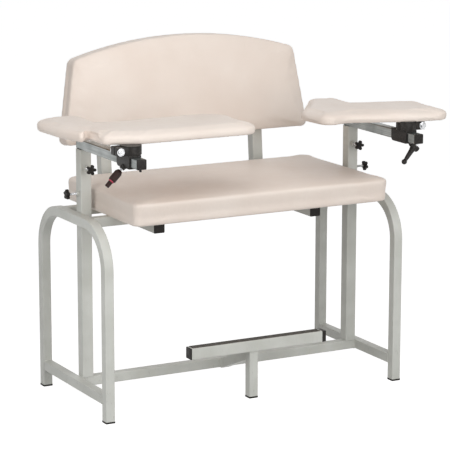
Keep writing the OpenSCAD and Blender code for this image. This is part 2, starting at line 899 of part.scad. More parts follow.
module knob_nuts() {
    color(paint) for (side = [-1, 1]) {
        lower_knob_place(side) knob_nut();
        upper_knob_place(side) knob_nut();
    }
}

module left_slide_post() color(steel) slide_post(-1);
module right_slide_post() color(steel) slide_post(1);
module left_arm_tube() color(steel) arm_tube(-1);
module right_arm_tube() color(steel) arm_tube(1);
module left_arm_plug() color(black) arm_plug(-1);
module right_arm_plug() color(black) arm_plug(1);
module left_arm_stop() color(black) arm_stop(-1);
module right_arm_stop() color(black) arm_stop(1);
module stop_screw_left() color(steel) stop_screw(-1);
module stop_screw_right() color(steel) stop_screw(1);
module left_clamp_block() color(black) clamp_block(-1);
module right_clamp_block() color(black) clamp_block(1);
module left_collar() color(black) collar(-1);
module right_collar() color(black) collar(1);
module left_collar_bolt() color(steel) collar_bolt(-1);
module right_collar_bolt() color(steel) collar_bolt(1);
module left_pad_plate() color(steel) pad_plate(-1);
module right_pad_plate() color(steel) pad_plate(1);
module left_pad_board() color(wood) pad_place(-1) board(left_pad_outline, lip_w);
module right_pad_board() color(wood) pad_place(1) board(right_pad_outline, lip_w);
module left_pad_cushion()
    color(vinyl) pad_place(-1) pad_cushion(left_pad_outline, left_pad_cut_shares);
module right_pad_cushion()
    color(vinyl) pad_place(1) pad_cushion(right_pad_outline, right_pad_cut_shares);
module left_upper_knob() color(black) upper_knob_place(-1) star_knob();
module right_upper_knob() color(black) upper_knob_place(1) star_knob();
module left_lower_knob() color(black) lower_knob_place(-1) star_knob();
module right_lower_knob() color(black) lower_knob_place(1) star_knob();
module left_upper_screw() color(steel) upper_knob_place(-1) knob_screw();
module right_upper_screw() color(steel) upper_knob_place(1) knob_screw();
module left_lower_screw() color(steel) lower_knob_place(-1) knob_screw();
module right_lower_screw() color(steel) lower_knob_place(1) knob_screw();
module grip_stud() color(steel) clamp_place(-1) clamp_stud(grip_set);
module grip_handle() color(black) clamp_place(-1) grip_body();
module grip_ring() color(red) clamp_place(-1) ring_body();
module lever_stud() color(steel) clamp_place(1) clamp_stud(lever_set);
module lever_handle() color(black) clamp_place(1) lever_body();

left_arch();
right_arch();
left_side_rail();
right_side_rail();
crossbar();
left_post();
right_post();
front_seat_rail();
rear_seat_rail();
left_back_tube();
right_back_tube();
back_tube_caps();
footrest_bar();
footrest_caps();
footrest_grip();
footrest_strut();
middle_leg();
foot_tips();
seat_board();
seat_cushion();
seat_screws();
back_board();
back_cushion();
back_screws();
knob_nuts();
left_slide_post();
right_slide_post();
left_arm_tube();
right_arm_tube();
left_arm_plug();
right_arm_plug();
left_arm_stop();
right_arm_stop();
stop_screw_left();
stop_screw_right();
left_clamp_block();
right_clamp_block();
left_collar();
right_collar();
left_collar_bolt();
right_collar_bolt();
left_pad_plate();
right_pad_plate();
left_pad_board();
right_pad_board();
left_pad_cushion();
right_pad_cushion();
left_upper_knob();
right_upper_knob();
left_lower_knob();
right_lower_knob();
left_upper_screw();
right_upper_screw();
left_lower_screw();
right_lower_screw();
grip_stud();
grip_handle();
grip_ring();
lever_stud();
lever_handle();
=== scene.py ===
import math

import bmesh
import bpy
from mathutils import Matrix, Vector


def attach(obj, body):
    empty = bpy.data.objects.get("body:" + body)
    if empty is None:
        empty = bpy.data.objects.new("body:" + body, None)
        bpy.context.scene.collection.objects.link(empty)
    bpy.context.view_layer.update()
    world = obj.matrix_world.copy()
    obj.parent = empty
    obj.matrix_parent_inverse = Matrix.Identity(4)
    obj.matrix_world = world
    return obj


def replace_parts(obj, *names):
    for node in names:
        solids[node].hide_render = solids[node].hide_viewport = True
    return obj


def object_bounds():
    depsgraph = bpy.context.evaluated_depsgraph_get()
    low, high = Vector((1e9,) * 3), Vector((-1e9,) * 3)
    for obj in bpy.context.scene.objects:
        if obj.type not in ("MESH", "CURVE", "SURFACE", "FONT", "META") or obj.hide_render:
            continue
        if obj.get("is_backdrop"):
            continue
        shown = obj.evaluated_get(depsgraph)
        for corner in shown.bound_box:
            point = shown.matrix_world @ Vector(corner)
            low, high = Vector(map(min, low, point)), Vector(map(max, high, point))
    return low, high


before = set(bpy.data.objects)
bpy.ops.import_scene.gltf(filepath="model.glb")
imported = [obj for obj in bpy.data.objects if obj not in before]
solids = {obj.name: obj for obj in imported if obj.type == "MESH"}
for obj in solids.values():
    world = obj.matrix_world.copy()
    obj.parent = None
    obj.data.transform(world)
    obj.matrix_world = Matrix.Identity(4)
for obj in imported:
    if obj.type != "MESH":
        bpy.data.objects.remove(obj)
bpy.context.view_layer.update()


# The side arches
# Each is one length of square steel tube, bent twice and welded into the frame. The whole
# frame has a warm light grey powder coat with a fine orange peel, scuffed near the floor.

ARCH_X = 0.536625
LEG_Y = 0.246625
TUBE = 0.03175
FRAME_TOP = 0.640
COAT = "#cfd0ca"
COAT_DULL = "#c3c4bd"
SCUFF = "#8f8c84"
SCUFF_LOW = 0.02
SCUFF_HIGH = 0.24


def colour(code):
    """Linear colour of a paint code, such as #c0c0c0."""
    parts = [int(code[i:i + 2], 16) / 255 for i in (1, 3, 5)]
    linear = [p / 12.92 if p < 0.04045 else ((p + 0.055) / 1.055) ** 2.4 for p in parts]
    return (*linear, 1.0)


def bare_tree(owner):
    """The node tree of a material or of the world, with nothing in it yet."""
    owner.use_nodes = True
    owner.node_tree.nodes.clear()
    return owner.node_tree


def new_finish(name, roughness, metallic=0.0):
    """An empty finish: its node tree, its shader, and the place on the piece."""
    finish = bpy.data.materials.new(name)
    tree = bare_tree(finish)
    shader = tree.nodes.new("ShaderNodeBsdfPrincipled")
    shader.inputs["Roughness"].default_value = roughness
    shader.inputs["Metallic"].default_value = metallic
    out = tree.nodes.new("ShaderNodeOutputMaterial")
    tree.links.new(shader.outputs["BSDF"], out.inputs["Surface"])
    place = tree.nodes.new("ShaderNodeTexCoord").outputs["Object"]
    return finish, tree, shader, place


def stretched(tree, place, amounts):
    """The place on the piece, drawn out along its axes."""
    mapping = tree.nodes.new("ShaderNodeMapping")
    mapping.inputs["Scale"].default_value = amounts
    tree.links.new(place, mapping.inputs["Vector"])
    return mapping.outputs["Vector"]


def mottle(tree, place, scale, detail=3.0, roughness=0.5):
    """Soft random spots, so many to the metre."""
    spots = tree.nodes.new("ShaderNodeTexNoise")
    spots.inputs["Scale"].default_value = scale
    spots.inputs["Detail"].default_value = detail
    spots.inputs["Roughness"].default_value = roughness
    tree.links.new(place, spots.inputs["Vector"])
    return spots.outputs["Fac"]


def between(tree, amount, low, high, low_value, high_value):
    """A number that runs from one value to the other as the amount rises."""
    levels = tree.nodes.new("ShaderNodeMapRange")
    levels.inputs["From Min"].default_value = low
    levels.inputs["From Max"].default_value = high
    levels.inputs["To Min"].default_value = low_value
    levels.inputs["To Max"].default_value = high_value
    tree.links.new(amount, levels.inputs["Value"])
    return levels.outputs["Result"]


def mixed(tree, amount, first, second):
    """A colour between two others. Each is a paint code or a colour from before."""
    mix = tree.nodes.new("ShaderNodeMix")
    mix.data_type = "RGBA"
    tree.links.new(amount, mix.inputs[0])
    for socket, value in ((mix.inputs[6], first), (mix.inputs[7], second)):
        if isinstance(value, str):
            socket.default_value = colour(value)
        else:
            tree.links.new(value, socket)
    return mix.outputs[2]


def relief(tree, shader, height, depth, under=None):
    """Raises the surface by a height, over the relief that is there already."""
    bump = tree.nodes.new("ShaderNodeBump")
    bump.inputs["Distance"].default_value = depth
    tree.links.new(height, bump.inputs["Height"])
    if under is not None:
        tree.links.new(under, bump.inputs["Normal"])
    tree.links.new(bump.outputs["Normal"], shader.inputs["Normal"])
    return bump.outputs["Normal"]


def multiplied(tree, first, second):
    """The product of two amounts."""
    product = tree.nodes.new("ShaderNodeMath")
    product.operation = "MULTIPLY"
    tree.links.new(first, product.inputs[0])
    tree.links.new(second, product.inputs[1])
    return product.outputs[0]


def two_tone(tree, shader, spots, low, high, first, second):
    """Colours the surface in two shades, which change over as the spots rise."""
    shades = mixed(tree, between(tree, spots, low, high, 0, 1), first, second)
    tree.links.new(shades, shader.inputs["Base Color"])


def gloss(tree, shader, spots, smoothest, roughest):
    """Lets the roughness wander between two values with the spots."""
    tree.links.new(between(tree, spots, 0.3, 0.7, smoothest, roughest), shader.inputs["Roughness"])


def dress(finish, *names):
    """Gives solids of the CAD model their finish."""
    for name in names:
        solids[name].material_slots[0].material = finish


powder_coat, tree, shader, place = new_finish("powder_coat", 0.4)
shade = mixed(tree, between(tree, mottle(tree, place, 9), 0.35, 0.65, 0, 1), COAT, COAT_DULL)
split = tree.nodes.new("ShaderNodeSeparateXYZ")
tree.links.new(place, split.inputs["Vector"])
low_down = between(tree, split.outputs["Z"], SCUFF_LOW, SCUFF_HIGH, 1, 0)
scratches = mottle(tree, stretched(tree, place, (40, 40, 14)), 3, 6, 0.7)
marks = multiplied(tree, low_down, between(tree, scratches, 0.58, 0.7, 0, 0.55))
tree.links.new(mixed(tree, marks, shade, SCUFF), shader.inputs["Base Color"])
gloss(tree, shader, mottle(tree, place, 60), 0.36, 0.47)
relief(tree, shader, mottle(tree, place, 420, 2), 0.00012)

dress(powder_coat, "left_arch", "right_arch")


# The side rails and the crossbar
# Straight lengths of the same tube. The rails are welded between the legs of each arch,
# and the crossbar between the rails, with a rippled bead along every edge that shows.

INNER_X = 0.52075
RAIL_LOW = 0.058
RAIL_TOP = RAIL_LOW + TUBE
BEAD = 0.0021
RIPPLE = 0.0021


def raw_piece(name, bm):
    """Turns built geometry into an object of the scene."""
    bmesh.ops.recalc_face_normals(bm, faces=bm.faces)
    mesh = bpy.data.meshes.new(name)
    bm.to_mesh(mesh)
    bm.free()
    piece = bpy.data.objects.new(name, mesh)
    bpy.context.scene.collection.objects.link(piece)
    return piece


def keep_piece(name, bm, finish, body, sharp=35.0):
    """Turns built geometry into a named piece with its finish, on its body."""
    piece = raw_piece(name, bm)
    piece.data.materials.append(finish)
    piece.data.shade_smooth()
    piece.data.set_sharp_from_angle(angle=math.radians(sharp))
    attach(piece, body)
    return piece


def skin(bm, rings, closed_ends=True):
    """Joins rings of as many points each by faces, and closes both ends."""
    loops = [[bm.verts.new(p) for p in ring] for ring in rings]
    count = len(loops[0])
    for first, second in zip(loops, loops[1:]):
        for i in range(count):
            j = (i + 1) % count
            bm.faces.new((first[i], first[j], second[j], second[i]))
    if closed_ends:
        ends = [bm.faces.new(loops[0]), bm.faces.new(loops[-1])]
        bmesh.ops.triangulate(bm, faces=ends)


def around(count):
    """Angles at even steps round a circle."""
    return [math.tau * i / count for i in range(count)]


def weld_bead(bm, start, end):
    """A rippled bead of weld from one point to the other, round at its ends."""
    start, end = Vector(start), Vector(end)
    run = end - start
    along = run.normalized()
    side = along.orthogonal().normalized()
    up = along.cross(side)
    count = max(6, int(run.length / RIPPLE * 2))
    rings = []
    for k in range(count + 1):
        share = k / count
        ends = min(1.0, 0.35 + 3.0 * min(share, 1 - share) * run.length / 0.01)
        size = BEAD * ends * (1.0 + 0.14 * (k % 2) + 0.05 * math.sin(k * 1.7))
        middle = start + run * share
        rings.append([middle + (side * math.cos(a) + up * math.sin(a)) * size for a in around(8)])
    skin(bm, rings)


def bead_frame(bm, middle, across, upward, sides="nesw"):
    """Beads round the end of a frame tube, along the sides that show."""
    middle, a, b = Vector(middle), Vector(across) * TUBE / 2, Vector(upward) * TUBE / 2
    trim = 0.9
    ends = {"n": (b - a * trim, b + a * trim), "s": (-b - a * trim, -b + a * trim),
            "e": (a - b * trim, a + b * trim), "w": (-a - b * trim, -a + b * trim)}
    for letter in sides:
        weld_bead(bm, middle + ends[letter][0], middle + ends[letter][1])


dress(powder_coat, "left_side_rail", "right_side_rail", "crossbar")

rail_mid = RAIL_LOW + TUBE / 2
bm = bmesh.new()
for side in (-1, 1):
    for end in (-1, 1):
        bead_frame(bm, (side * ARCH_X, end * (LEG_Y - TUBE / 2), rail_mid), (1, 0, 0), (0, 0, 1))
    bead_frame(bm, (side * INNER_X, 0, rail_mid), (0, 1, 0), (0, 0, 1))
keep_piece("rail_welds", bm, powder_coat, "frame", 60)


# The foot tips
# Five moulded black rubber tips, pushed into the ends of the four arch legs and of the
# middle leg. Each has a rolled edge, a little wider than the tube.

FOOT_X = 0.0065
FOOT_Y = 0.204
FOOT_HIGH = 0.006
RIM_PROUD = 0.0016
STEM_LESS = 0.0044
RUBBER = "#211f1d"
RUBBER_DUST = "#4a4742"


def round_square(width, radius, steps=5):
    """Outline of a square with round corners, counter-clockwise."""
    points = []
    for corner in range(4):
        turn = math.pi / 2 * corner
        centre = Vector((width / 2 - radius, width / 2 - radius))
        for k in range(steps + 1):
            a = math.pi / 2 * k / steps
            p = centre + Vector((math.cos(a), math.sin(a))) * radius
            points.append((p.x * math.cos(turn) - p.y * math.sin(turn),
                           p.x * math.sin(turn) + p.y * math.cos(turn)))
    return points


def drawn_in(points, amount):
    """An outline moved inwards, square to its own line."""
    moved = []
    count = len(points)
    for i in range(count):
        before, here, after = (Vector(points[(i + k) % count][:2]) for k in (-1, 0, 1))
        first, second = (here - before).normalized(), (after - here).normalized()
        inward = Vector((-first.y - second.y, first.x + second.x)).normalized()
        stretch = max(0.5, inward.dot(Vector((-first.y, first.x))))
        moved.append(tuple(here + inward * amount / stretch))
    return moved


def moulding(bm, outline, low, high, low_roll, high_roll, where, steps=4):
    """A solid with this outline between two heights, with rolled edges."""
    levels = []
    for k in range(steps + 1):
        a = math.pi / 2 * k / steps
        levels.append((low_roll * (1 - math.sin(a)), low + low_roll * (1 - math.cos(a))))
    for k in range(steps + 1):
        a = math.pi / 2 * k / steps
        levels.append((high_roll * (1 - math.cos(a)), high - high_roll * (1 - math.sin(a))))
    rings = []
    for inset, z in levels:
        rings.append([where @ Vector((x, y, z)) for x, y in drawn_in(outline, inset)])
    skin(bm, rings)


rubber, tree, shader, place = new_finish("rubber", 0.8)
shader.inputs["Specular IOR Level"].default_value = 0.2
two_tone(tree, shader, mottle(tree, place, 120, 4), 0.45, 0.75, RUBBER, RUBBER_DUST)
gloss(tree, shader, mottle(tree, place, 300), 0.7, 0.92)
relief(tree, shader, mottle(tree, place, 1500, 3), 0.0001)

tips = {"left_front": (-ARCH_X, -LEG_Y), "left_rear": (-ARCH_X, LEG_Y),
        "right_front": (ARCH_X, -LEG_Y), "right_rear": (ARCH_X, LEG_Y), "middle": (FOOT_X, -FOOT_Y)}
rim = round_square(TUBE + RIM_PROUD, 0.0036)
stem = round_square(TUBE - STEM_LESS, 0.002)
for label, (x, y) in tips.items():
    bm = bmesh.new()
    here = Matrix.Translation((x, y, 0))
    moulding(bm, rim, 0, FOOT_HIGH, 0.0012, 0.001, here)
    moulding(bm, stem, FOOT_HIGH - 0.001, FOOT_HIGH + 0.012, 0.0002, 0.001, here)
    tip = keep_piece("foot_tip_" + label, bm, rubber, "frame")
    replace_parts(tip, "foot_tips")


# The posts and their threaded nuts
# Square posts, a size wider than the frame tube so that the arms' inner posts slide in
# them, stand on the crossbar against the arches. Round nuts for the knobs are welded on.

POST = 0.0381
POST_X = 0.5017
FOOT_BEAD_HALF = 0.017
CORNER_BEAD_HALF = 0.0135
NUT_RADIUS = 0.008
NUT_LONG = 0.008
NUT_BORE = 0.0042
NUT_WELD = 0.0085
UPPER_KNOB_Z = 0.785
LOWER_KNOB_Z = 0.701
SIDES = ((-1, "left"), (1, "right"))
HEIGHTS = ((True, "upper"), (False, "lower"))
NEEDLE = 0.00002


def polar(reach, a, z):
    """A point at a reach from the axis, at an angle round it."""
    return Vector((reach * math.cos(a), reach * math.sin(a), z))


def lathe(bm, profile, where, steps=32):
    """A turned solid: radii and heights, from its lower end to its upper one.

    A third number of one makes that ring a hexagon, with the radius across its flats."""
    rings = []
    for radius, z, *six in profile:
        ring = []
        for a in around(steps):
            reach = max(radius, NEEDLE)
            if six:
                reach /= math.cos((a + math.pi / 6) % (math.pi / 3) - math.pi / 6)
            ring.append(where @ polar(reach, a, z))
        rings.append(ring)
    skin(bm, rings)


def turned(spot, degrees, axis):
    """A place on the chair, turned about one axis."""
    return Matrix.Translation(spot) @ Matrix.Rotation(math.radians(degrees), 4, axis)


def knob_place(side, upper):
    """Where a knob's screw leaves the post: Z runs out of the post's face."""
    if upper:
        return turned((side * POST_X, -POST / 2, UPPER_KNOB_Z), 90, "X")
    return turned((side * (POST_X + POST / 2), 0, LOWER_KNOB_Z), side * 90, "Y")


dress(powder_coat, "left_post", "right_post")

bm = bmesh.new()
for side in (-1, 1):
    for end in (-1, 1):
        foot = Vector((side * POST_X, end * TUBE / 2, RAIL_TOP))
        run = Vector((FOOT_BEAD_HALF, 0, 0))
        weld_bead(bm, foot - run, foot + run)
        corner = Vector((side * INNER_X, end * POST / 2, FRAME_TOP - TUBE / 2))
        run = Vector((0, 0, CORNER_BEAD_HALF))
        weld_bead(bm, corner - run, corner + run)
keep_piece("post_welds", bm, powder_coat, "frame", 60)

for side, word in SIDES:
    for upper, height in HEIGHTS:
        spot = knob_place(side, upper)
        bm = bmesh.new()
        lathe(bm, [(NUT_BORE, -0.0002), (NUT_RADIUS, -0.0002), (NUT_RADIUS, NUT_LONG - 0.0012),
                   (NUT_RADIUS - 0.0012, NUT_LONG), (NUT_BORE + 0.0004, NUT_LONG),
                   (NUT_BORE, NUT_LONG - 0.0006), (NUT_BORE, NUT_LONG - 0.003)], spot)
        ring = [spot @ polar(NUT_WELD, a, 0.0004) for a in around(24)]
        for start, end in zip(ring, ring[1:] + ring[:1]):
            weld_bead(bm, start, end)
        nut = keep_piece("nut_" + word + "_" + height, bm, powder_coat, "frame")
        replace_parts(nut, "knob_nuts")


# The seat rails
# Two lengths of the frame tube across the chair, welded between the tops of the arches.
# The seat is screwed down on them from below.

SEAT_RAIL_Y = 0.100
rail_z = FRAME_TOP - TUBE / 2

dress(powder_coat, "front_seat_rail", "rear_seat_rail")

bm = bmesh.new()
for side in (-1, 1):
    for y in (-SEAT_RAIL_Y, SEAT_RAIL_Y):
        bead_frame(bm, (side * INNER_X, y, rail_z), (0, 1, 0), (0, 0, 1), "sew")
keep_piece("seat_rail_welds", bm, powder_coat, "frame", 60)


# The back tubes and their caps
# Two L-shaped tubes of the wider size carry the backrest: a level leg is welded under the
# seat rails and the other rises behind the back. Black plastic plugs close their ends.

BACK_TUBE_X = 0.292
BACK_TUBE_FRONT = -0.122
BACK_TUBE_Z = FRAME_TOP - TUBE - POST / 2
BACK_AT = (0, 0.280, 0.802)
RECLINE = 5.2
UPRIGHT_TOP = 0.28236
BACK_BEAD_HALF = 0.0165
PLASTIC = "#1d1a18"
PLASTIC_WORN = "#38332f"
CAP = 0.003
CAP_ROUND = 0.003
STEM_ROUND = 0.0012
STEM_DEEP = 0.02

on_back = turned(BACK_AT, -RECLINE, "X")
dress(powder_coat, "left_back_tube", "right_back_tube")

bm = bmesh.new()
for side in (-1, 1):
    for y in (-SEAT_RAIL_Y, SEAT_RAIL_Y):
        for edge in (-1, 1):
            spot = Vector((side * BACK_TUBE_X, y + edge * TUBE / 2, FRAME_TOP - TUBE))
            run = Vector((BACK_BEAD_HALF, 0, 0))
            weld_bead(bm, spot - run, spot + run)
keep_piece("back_tube_welds", bm, powder_coat, "frame", 60)

plastic, tree, shader, place = new_finish("moulded_plastic", 0.45)
shader.inputs["Specular IOR Level"].default_value = 0.2
two_tone(tree, shader, mottle(tree, place, 220, 5, 0.65), 0.52, 0.72, PLASTIC, PLASTIC_WORN)
gloss(tree, shader, mottle(tree, place, 90), 0.34, 0.52)
relief(tree, shader, mottle(tree, place, 2200, 2), 0.00005)


def tube_cap(name, width, thick, where, body, node):
    """A black end plug: its plate outside the tube and its stem inside."""
    bm = bmesh.new()
    plate = round_square(width, CAP_ROUND)
    stem = round_square(width - STEM_LESS, STEM_ROUND)
    moulding(bm, plate, 0, thick, 0.0002, min(0.0016, thick * 0.45), where)
    moulding(bm, stem, -STEM_DEEP, 0.0004, 0.001, 0.0001, where)
    piece = keep_piece(name, bm, plastic, body)
    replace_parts(piece, node)


for side, word in SIDES:
    front = turned((side * BACK_TUBE_X, BACK_TUBE_FRONT, BACK_TUBE_Z), 90, "X")
    tube_cap("back_tube_plug_" + word, POST, CAP, front, "frame", "back_tube_caps")
    top = on_back @ Matrix.Translation((side * BACK_TUBE_X, POST / 2, UPRIGHT_TOP))
    tube_cap("upright_plug_" + word, POST, CAP, top, "frame", "back_tube_caps")


# The footrest
# A bar of the wider tube on a short middle leg, braced to the crossbar by a strut. A
# ribbed rubber strip is glued along its top, and black plastic ends close it.

BAR_LEFT = -0.225
BAR_RIGHT = 0.266
BAR_LOW = 0.160
STOP_THICK = 0.015
GRIP_WIDE = 0.030
GRIP_THICK = 0.0015
GRIP_END = 0.006
RIBS = 9
GROOVE = 0.0007
TREAD = "#55524e"
TREAD_WORN = "#6a6660"

dress(powder_coat, "middle_leg", "footrest_strut", "footrest_bar")

bm = bmesh.new()
bead_frame(bm, (FOOT_X, -FOOT_Y, BAR_LOW), (1, 0, 0), (0, 1, 0))
strut_front = -FOOT_Y + TUBE / 2
for side in (-1, 1):
    x = FOOT_X + side * TUBE / 2
    weld_bead(bm, (x, -TUBE / 2, RAIL_LOW + 0.003), (x, -TUBE / 2, RAIL_TOP - 0.001))
    weld_bead(bm, (x, strut_front, BAR_LOW - 0.034), (x, strut_front, BAR_LOW - 0.001))
keep_piece("footrest_welds", bm, powder_coat, "frame", 60)

bar_mid = BAR_LOW + POST / 2
left_end = turned((BAR_LEFT, -FOOT_Y, bar_mid), -90, "Y")
right_end = turned((BAR_RIGHT, -FOOT_Y, bar_mid), 90, "Y")
tube_cap("footrest_plug_left", POST, CAP, left_end, "frame", "footrest_caps")
tube_cap("footrest_stop_right", POST, STOP_THICK, right_end, "frame", "footrest_caps")

tread, tree, shader, place = new_finish("tread_rubber", 0.8)
shader.inputs["Specular IOR Level"].default_value = 0.2
two_tone(tree, shader, mottle(tree, place, 60, 5, 0.6), 0.42, 0.7, TREAD, TREAD_WORN)
gloss(tree, shader, mottle(tree, place, 300), 0.7, 0.92)
relief(tree, shader, mottle(tree, place, 1500, 3), 0.0001)

rib = GRIP_WIDE / RIBS
profile = [(-GRIP_WIDE / 2, 0.0)]
for k in range(RIBS):
    left = -GRIP_WIDE / 2 + GRIP_WIDE * k / RIBS
    profile += [(left + rib * 0.08, GROOVE), (left + rib * 0.22, GRIP_THICK),
                (left + rib * 0.78, GRIP_THICK), (left + rib * 0.92, GROOVE)]
profile.append((GRIP_WIDE / 2, 0.0))
length = BAR_RIGHT - BAR_LEFT - 2 * GRIP_END
rings = []
for k in range(41):
    x = BAR_LEFT + GRIP_END + length * k / 40
    rings.append([(x, -FOOT_Y + y, BAR_LOW + POST + z) for y, z in profile])
bm = bmesh.new()
skin(bm, rings)
strip = keep_piece("footrest_tread", bm, tread, "frame", 25)
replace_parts(strip, "footrest_grip")


# The seat
# A plywood board with thick foam, wrapped in pale vinyl that is stapled underneath. Its
# front face leans out over the hem, and the corners are pulled tight.

VINYL = "#e7dbd1"
VINYL_DEEP = "#e2d4c9"
PLY = "#c9a06a"
PLY_DARK = "#9a6f42"
KNOT = "#6f4c2c"
PLATING = "#dfe0e2"
PLATING_DULL = "#bcbdbe"
HEM_LOW = 0.0025
SEAT_HALF = 0.474
SEAT_FRONT = -0.322
SEAT_REAR = 0.233
SEAT_CORNER = 0.036
SEAT_SIDE = 0.067
SLACK = 0.003
HEM_EASE = 0.022
FRONT_TUCK = 0.011
TUCK_DEEP = 0.160
SWELL_FRAMES = 20
STAPLE_HALF = 0.0052
STAPLE_LEG = 0.0016
WIRE = 0.0005
SEAT_SCREW_X = 0.180
SEAT_SCREW_LONG = 0.0402


def corner_arc(outline, i, inset, steps):
    """Points round one corner of an outline that is drawn in."""
    before, here, after = (Vector(outline[(i + k) % len(outline)][:2]) for k in (-1, 0, 1))
    radius = outline[i][2]
    first, second = (here - before).normalized(), (after - here).normalized()
    turn = math.atan2(first.cross(second), first.dot(second))
    start = here - first * radius * math.tan(abs(turn) / 2)
    inward = Vector((-first.y, first.x)) * (1 if turn > 0 else -1)
    centre = start + inward * radius
    reach = start - centre
    angle = math.atan2(reach.y, reach.x)
    size = radius - min(inset, 0.9 * radius) if turn > 0 else radius + min(inset, 2 * radius)
    return [(centre.x + size * math.cos(angle + turn * k / steps),
             centre.y + size * math.sin(angle + turn * k / steps)) for k in range(steps + 1)]


def outline_ring(outline, inset):
    """A whole outline drawn in, with its corners rounded."""
    points = []
    for i, corner in enumerate(outline):
        points += corner_arc(outline, i, inset, 8 if corner[2] < 0.5 else 40)
    return points


def foam_shape(name, outline, side_high, roll_wide, roll_high, draw, hem, crown, middle):
    """A cushion before it is covered: its hem turned under, a side, a roll and a crown."""
    levels = [(draw + hem, 0.006), (draw + hem, -HEM_LOW), (draw + 0.003, -HEM_LOW)]
    for k in range(6):
        share = k / 5
        levels.append((draw * (1 - math.sin(math.pi / 2 * share)), side_high * share))
    for k in range(1, 9):
        a = math.pi / 2 * k / 8
        levels.append((roll_wide * (1 - math.cos(a)), side_high + roll_high * math.sin(a)))
    top = side_high + roll_high
    rings = [[(x, y, z) for x, y in outline_ring(outline, inset + SLACK)] for inset, z in levels]
    last = rings[-1]
    if crown > 0:
        for share in (0.93, 0.85, 0.75, 0.62, 0.48, 0.32, 0.16):
            rings.append([(middle[0] + (x - middle[0]) * share, middle[1] + (y - middle[1]) * share,
                           top + crown * (1 - share * share)) for x, y, z in last])
    bm = bmesh.new()
    skin(bm, rings)
    return raw_piece(name, bm)


def settle(piece):
    """Makes the modifiers of a piece part of its mesh."""
    bpy.context.view_layer.update()
    made = piece.evaluated_get(bpy.context.evaluated_depsgraph_get())
    mesh = bpy.data.meshes.new_from_object(made)
    piece.modifiers.clear()
    piece.data = mesh


def stuff(piece, grid, cap, puff=4, held_below=0.006):
    """Fills a cover with foam: it swells against its own stretch, at most by the cap."""
    remesh = piece.modifiers.new("grid", "REMESH")
    remesh.mode = "VOXEL"
    remesh.voxel_size = grid
    smooth = piece.modifiers.new("smooth", "SMOOTH")
    smooth.factor = 0.5
    smooth.iterations = 4
    settle(piece)
    held = piece.vertex_groups.new(name="held")
    held.add([v.index for v in piece.data.vertices if v.co.z < held_below], 1.0, "REPLACE")
    rest = [v.co.copy() for v in piece.data.vertices]
    cloth = piece.modifiers.new("cover", "CLOTH")
    cloth.settings.quality = 4
    cloth.settings.mass = 0.3
    cloth.settings.tension_stiffness = 25
    cloth.settings.compression_stiffness = 25
    cloth.settings.shear_stiffness = 10
    cloth.settings.bending_stiffness = 2
    cloth.settings.use_pressure = True
    cloth.settings.uniform_pressure_force = puff
    cloth.settings.vertex_group_mass = "held"
    cloth.settings.effector_weights.gravity = 0
    cloth.point_cache.frame_start = 1
    cloth.point_cache.frame_end = SWELL_FRAMES
    for step in range(1, SWELL_FRAMES + 1):
        bpy.context.scene.frame_set(step)
    made = piece.evaluated_get(bpy.context.evaluated_depsgraph_get())
    swollen = [v.co.copy() for v in made.data.vertices]
    piece.modifiers.clear()
    for vertex, before, after in zip(piece.data.vertices, rest, swollen):
        move = after - before
        free = cap * min(1.0, max(0.0, (before.z - held_below) / HEM_EASE))
        if move.length > free:
            move *= free / move.length
        vertex.co = before + move
    bpy.context.scene.frame_set(1)


def cover(piece, where, body, node):
    """Gives a stuffed piece its vinyl and its place on the chair."""
    finer = piece.modifiers.new("finer", "SUBSURF")
    finer.levels = 1
    finer.render_levels = 1
    settle(piece)
    piece.data.transform(where)
    piece.data.materials.clear()
    piece.data.materials.append(vinyl)
    piece.data.shade_smooth()
    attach(piece, body)
    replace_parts(piece, node)


def staples(name, outline, inset, pitch, where, body):
    """A row of wire staples that hold the hem to the board."""
    ring = [Vector(p) for p in outline_ring(outline, inset)]
    bm = bmesh.new()
    left = pitch / 2
    leg = Vector((0, 0, STAPLE_LEG))
    drop = Vector((0, 0, -WIRE))
    for start, end in zip(ring, ring[1:] + ring[:1]):
        run = end - start
        while left < run.length:
            spot = start + run.normalized() * left
            along = run.normalized().to_3d() * STAPLE_HALF
            middle = spot.to_3d() + Vector((0, 0, -HEM_LOW - 0.0002))
            path = [middle - along + leg, middle - along, middle + along, middle + along + leg]
            across = Vector((-along.y, along.x, 0)).normalized() * WIRE
            section = (across, -across, drop - across, drop + across)
            skin(bm, [[where @ (p + a) for a in section] for p in path])
            left += pitch
        left -= run.length
    keep_piece(name, bm, bright_steel, body)


def socket_screw(bm, where, length, head=0.0065, head_high=0.004, shank=0.003):
    """A screw with a low domed head that has a hexagon socket, and its shank from zero up."""
    socket = head * 0.42
    lathe(bm, [(0, -head_high * 0.45), (socket, -head_high * 0.45, 1), (socket, -head_high, 1),
               (head * 0.6, -head_high), (head * 0.9, -head_high * 0.75), (head, -head_high * 0.35),
               (head, -0.0002), (shank, 0.0), (shank, length * 0.96), (shank * 0.4, length)], where, 36)


bright_steel, tree, shader, place = new_finish("bright_steel", 0.2, 1.0)
two_tone(tree, shader, mottle(tree, place, 140, 4), 0.35, 0.7, PLATING, PLATING_DULL)
gloss(tree, shader, mottle(tree, place, 400, 3), 0.14, 0.3)
relief(tree, shader, mottle(tree, place, 900, 2), 0.00004)

plywood, tree, shader, place = new_finish("plywood", 0.62)
streaks = mottle(tree, stretched(tree, place, (3, 46, 46)), 4, 6, 0.6)
grain = mixed(tree, between(tree, streaks, 0.36, 0.64, 0, 1), PLY, PLY_DARK)
knots = between(tree, mottle(tree, stretched(tree, place, (1, 2.2, 1)), 9, 2), 0.66, 0.76, 0, 0.7)
tree.links.new(mixed(tree, knots, grain, KNOT), shader.inputs["Base Color"])
gloss(tree, shader, streaks, 0.55, 0.72)
relief(tree, shader, streaks, 0.0003)

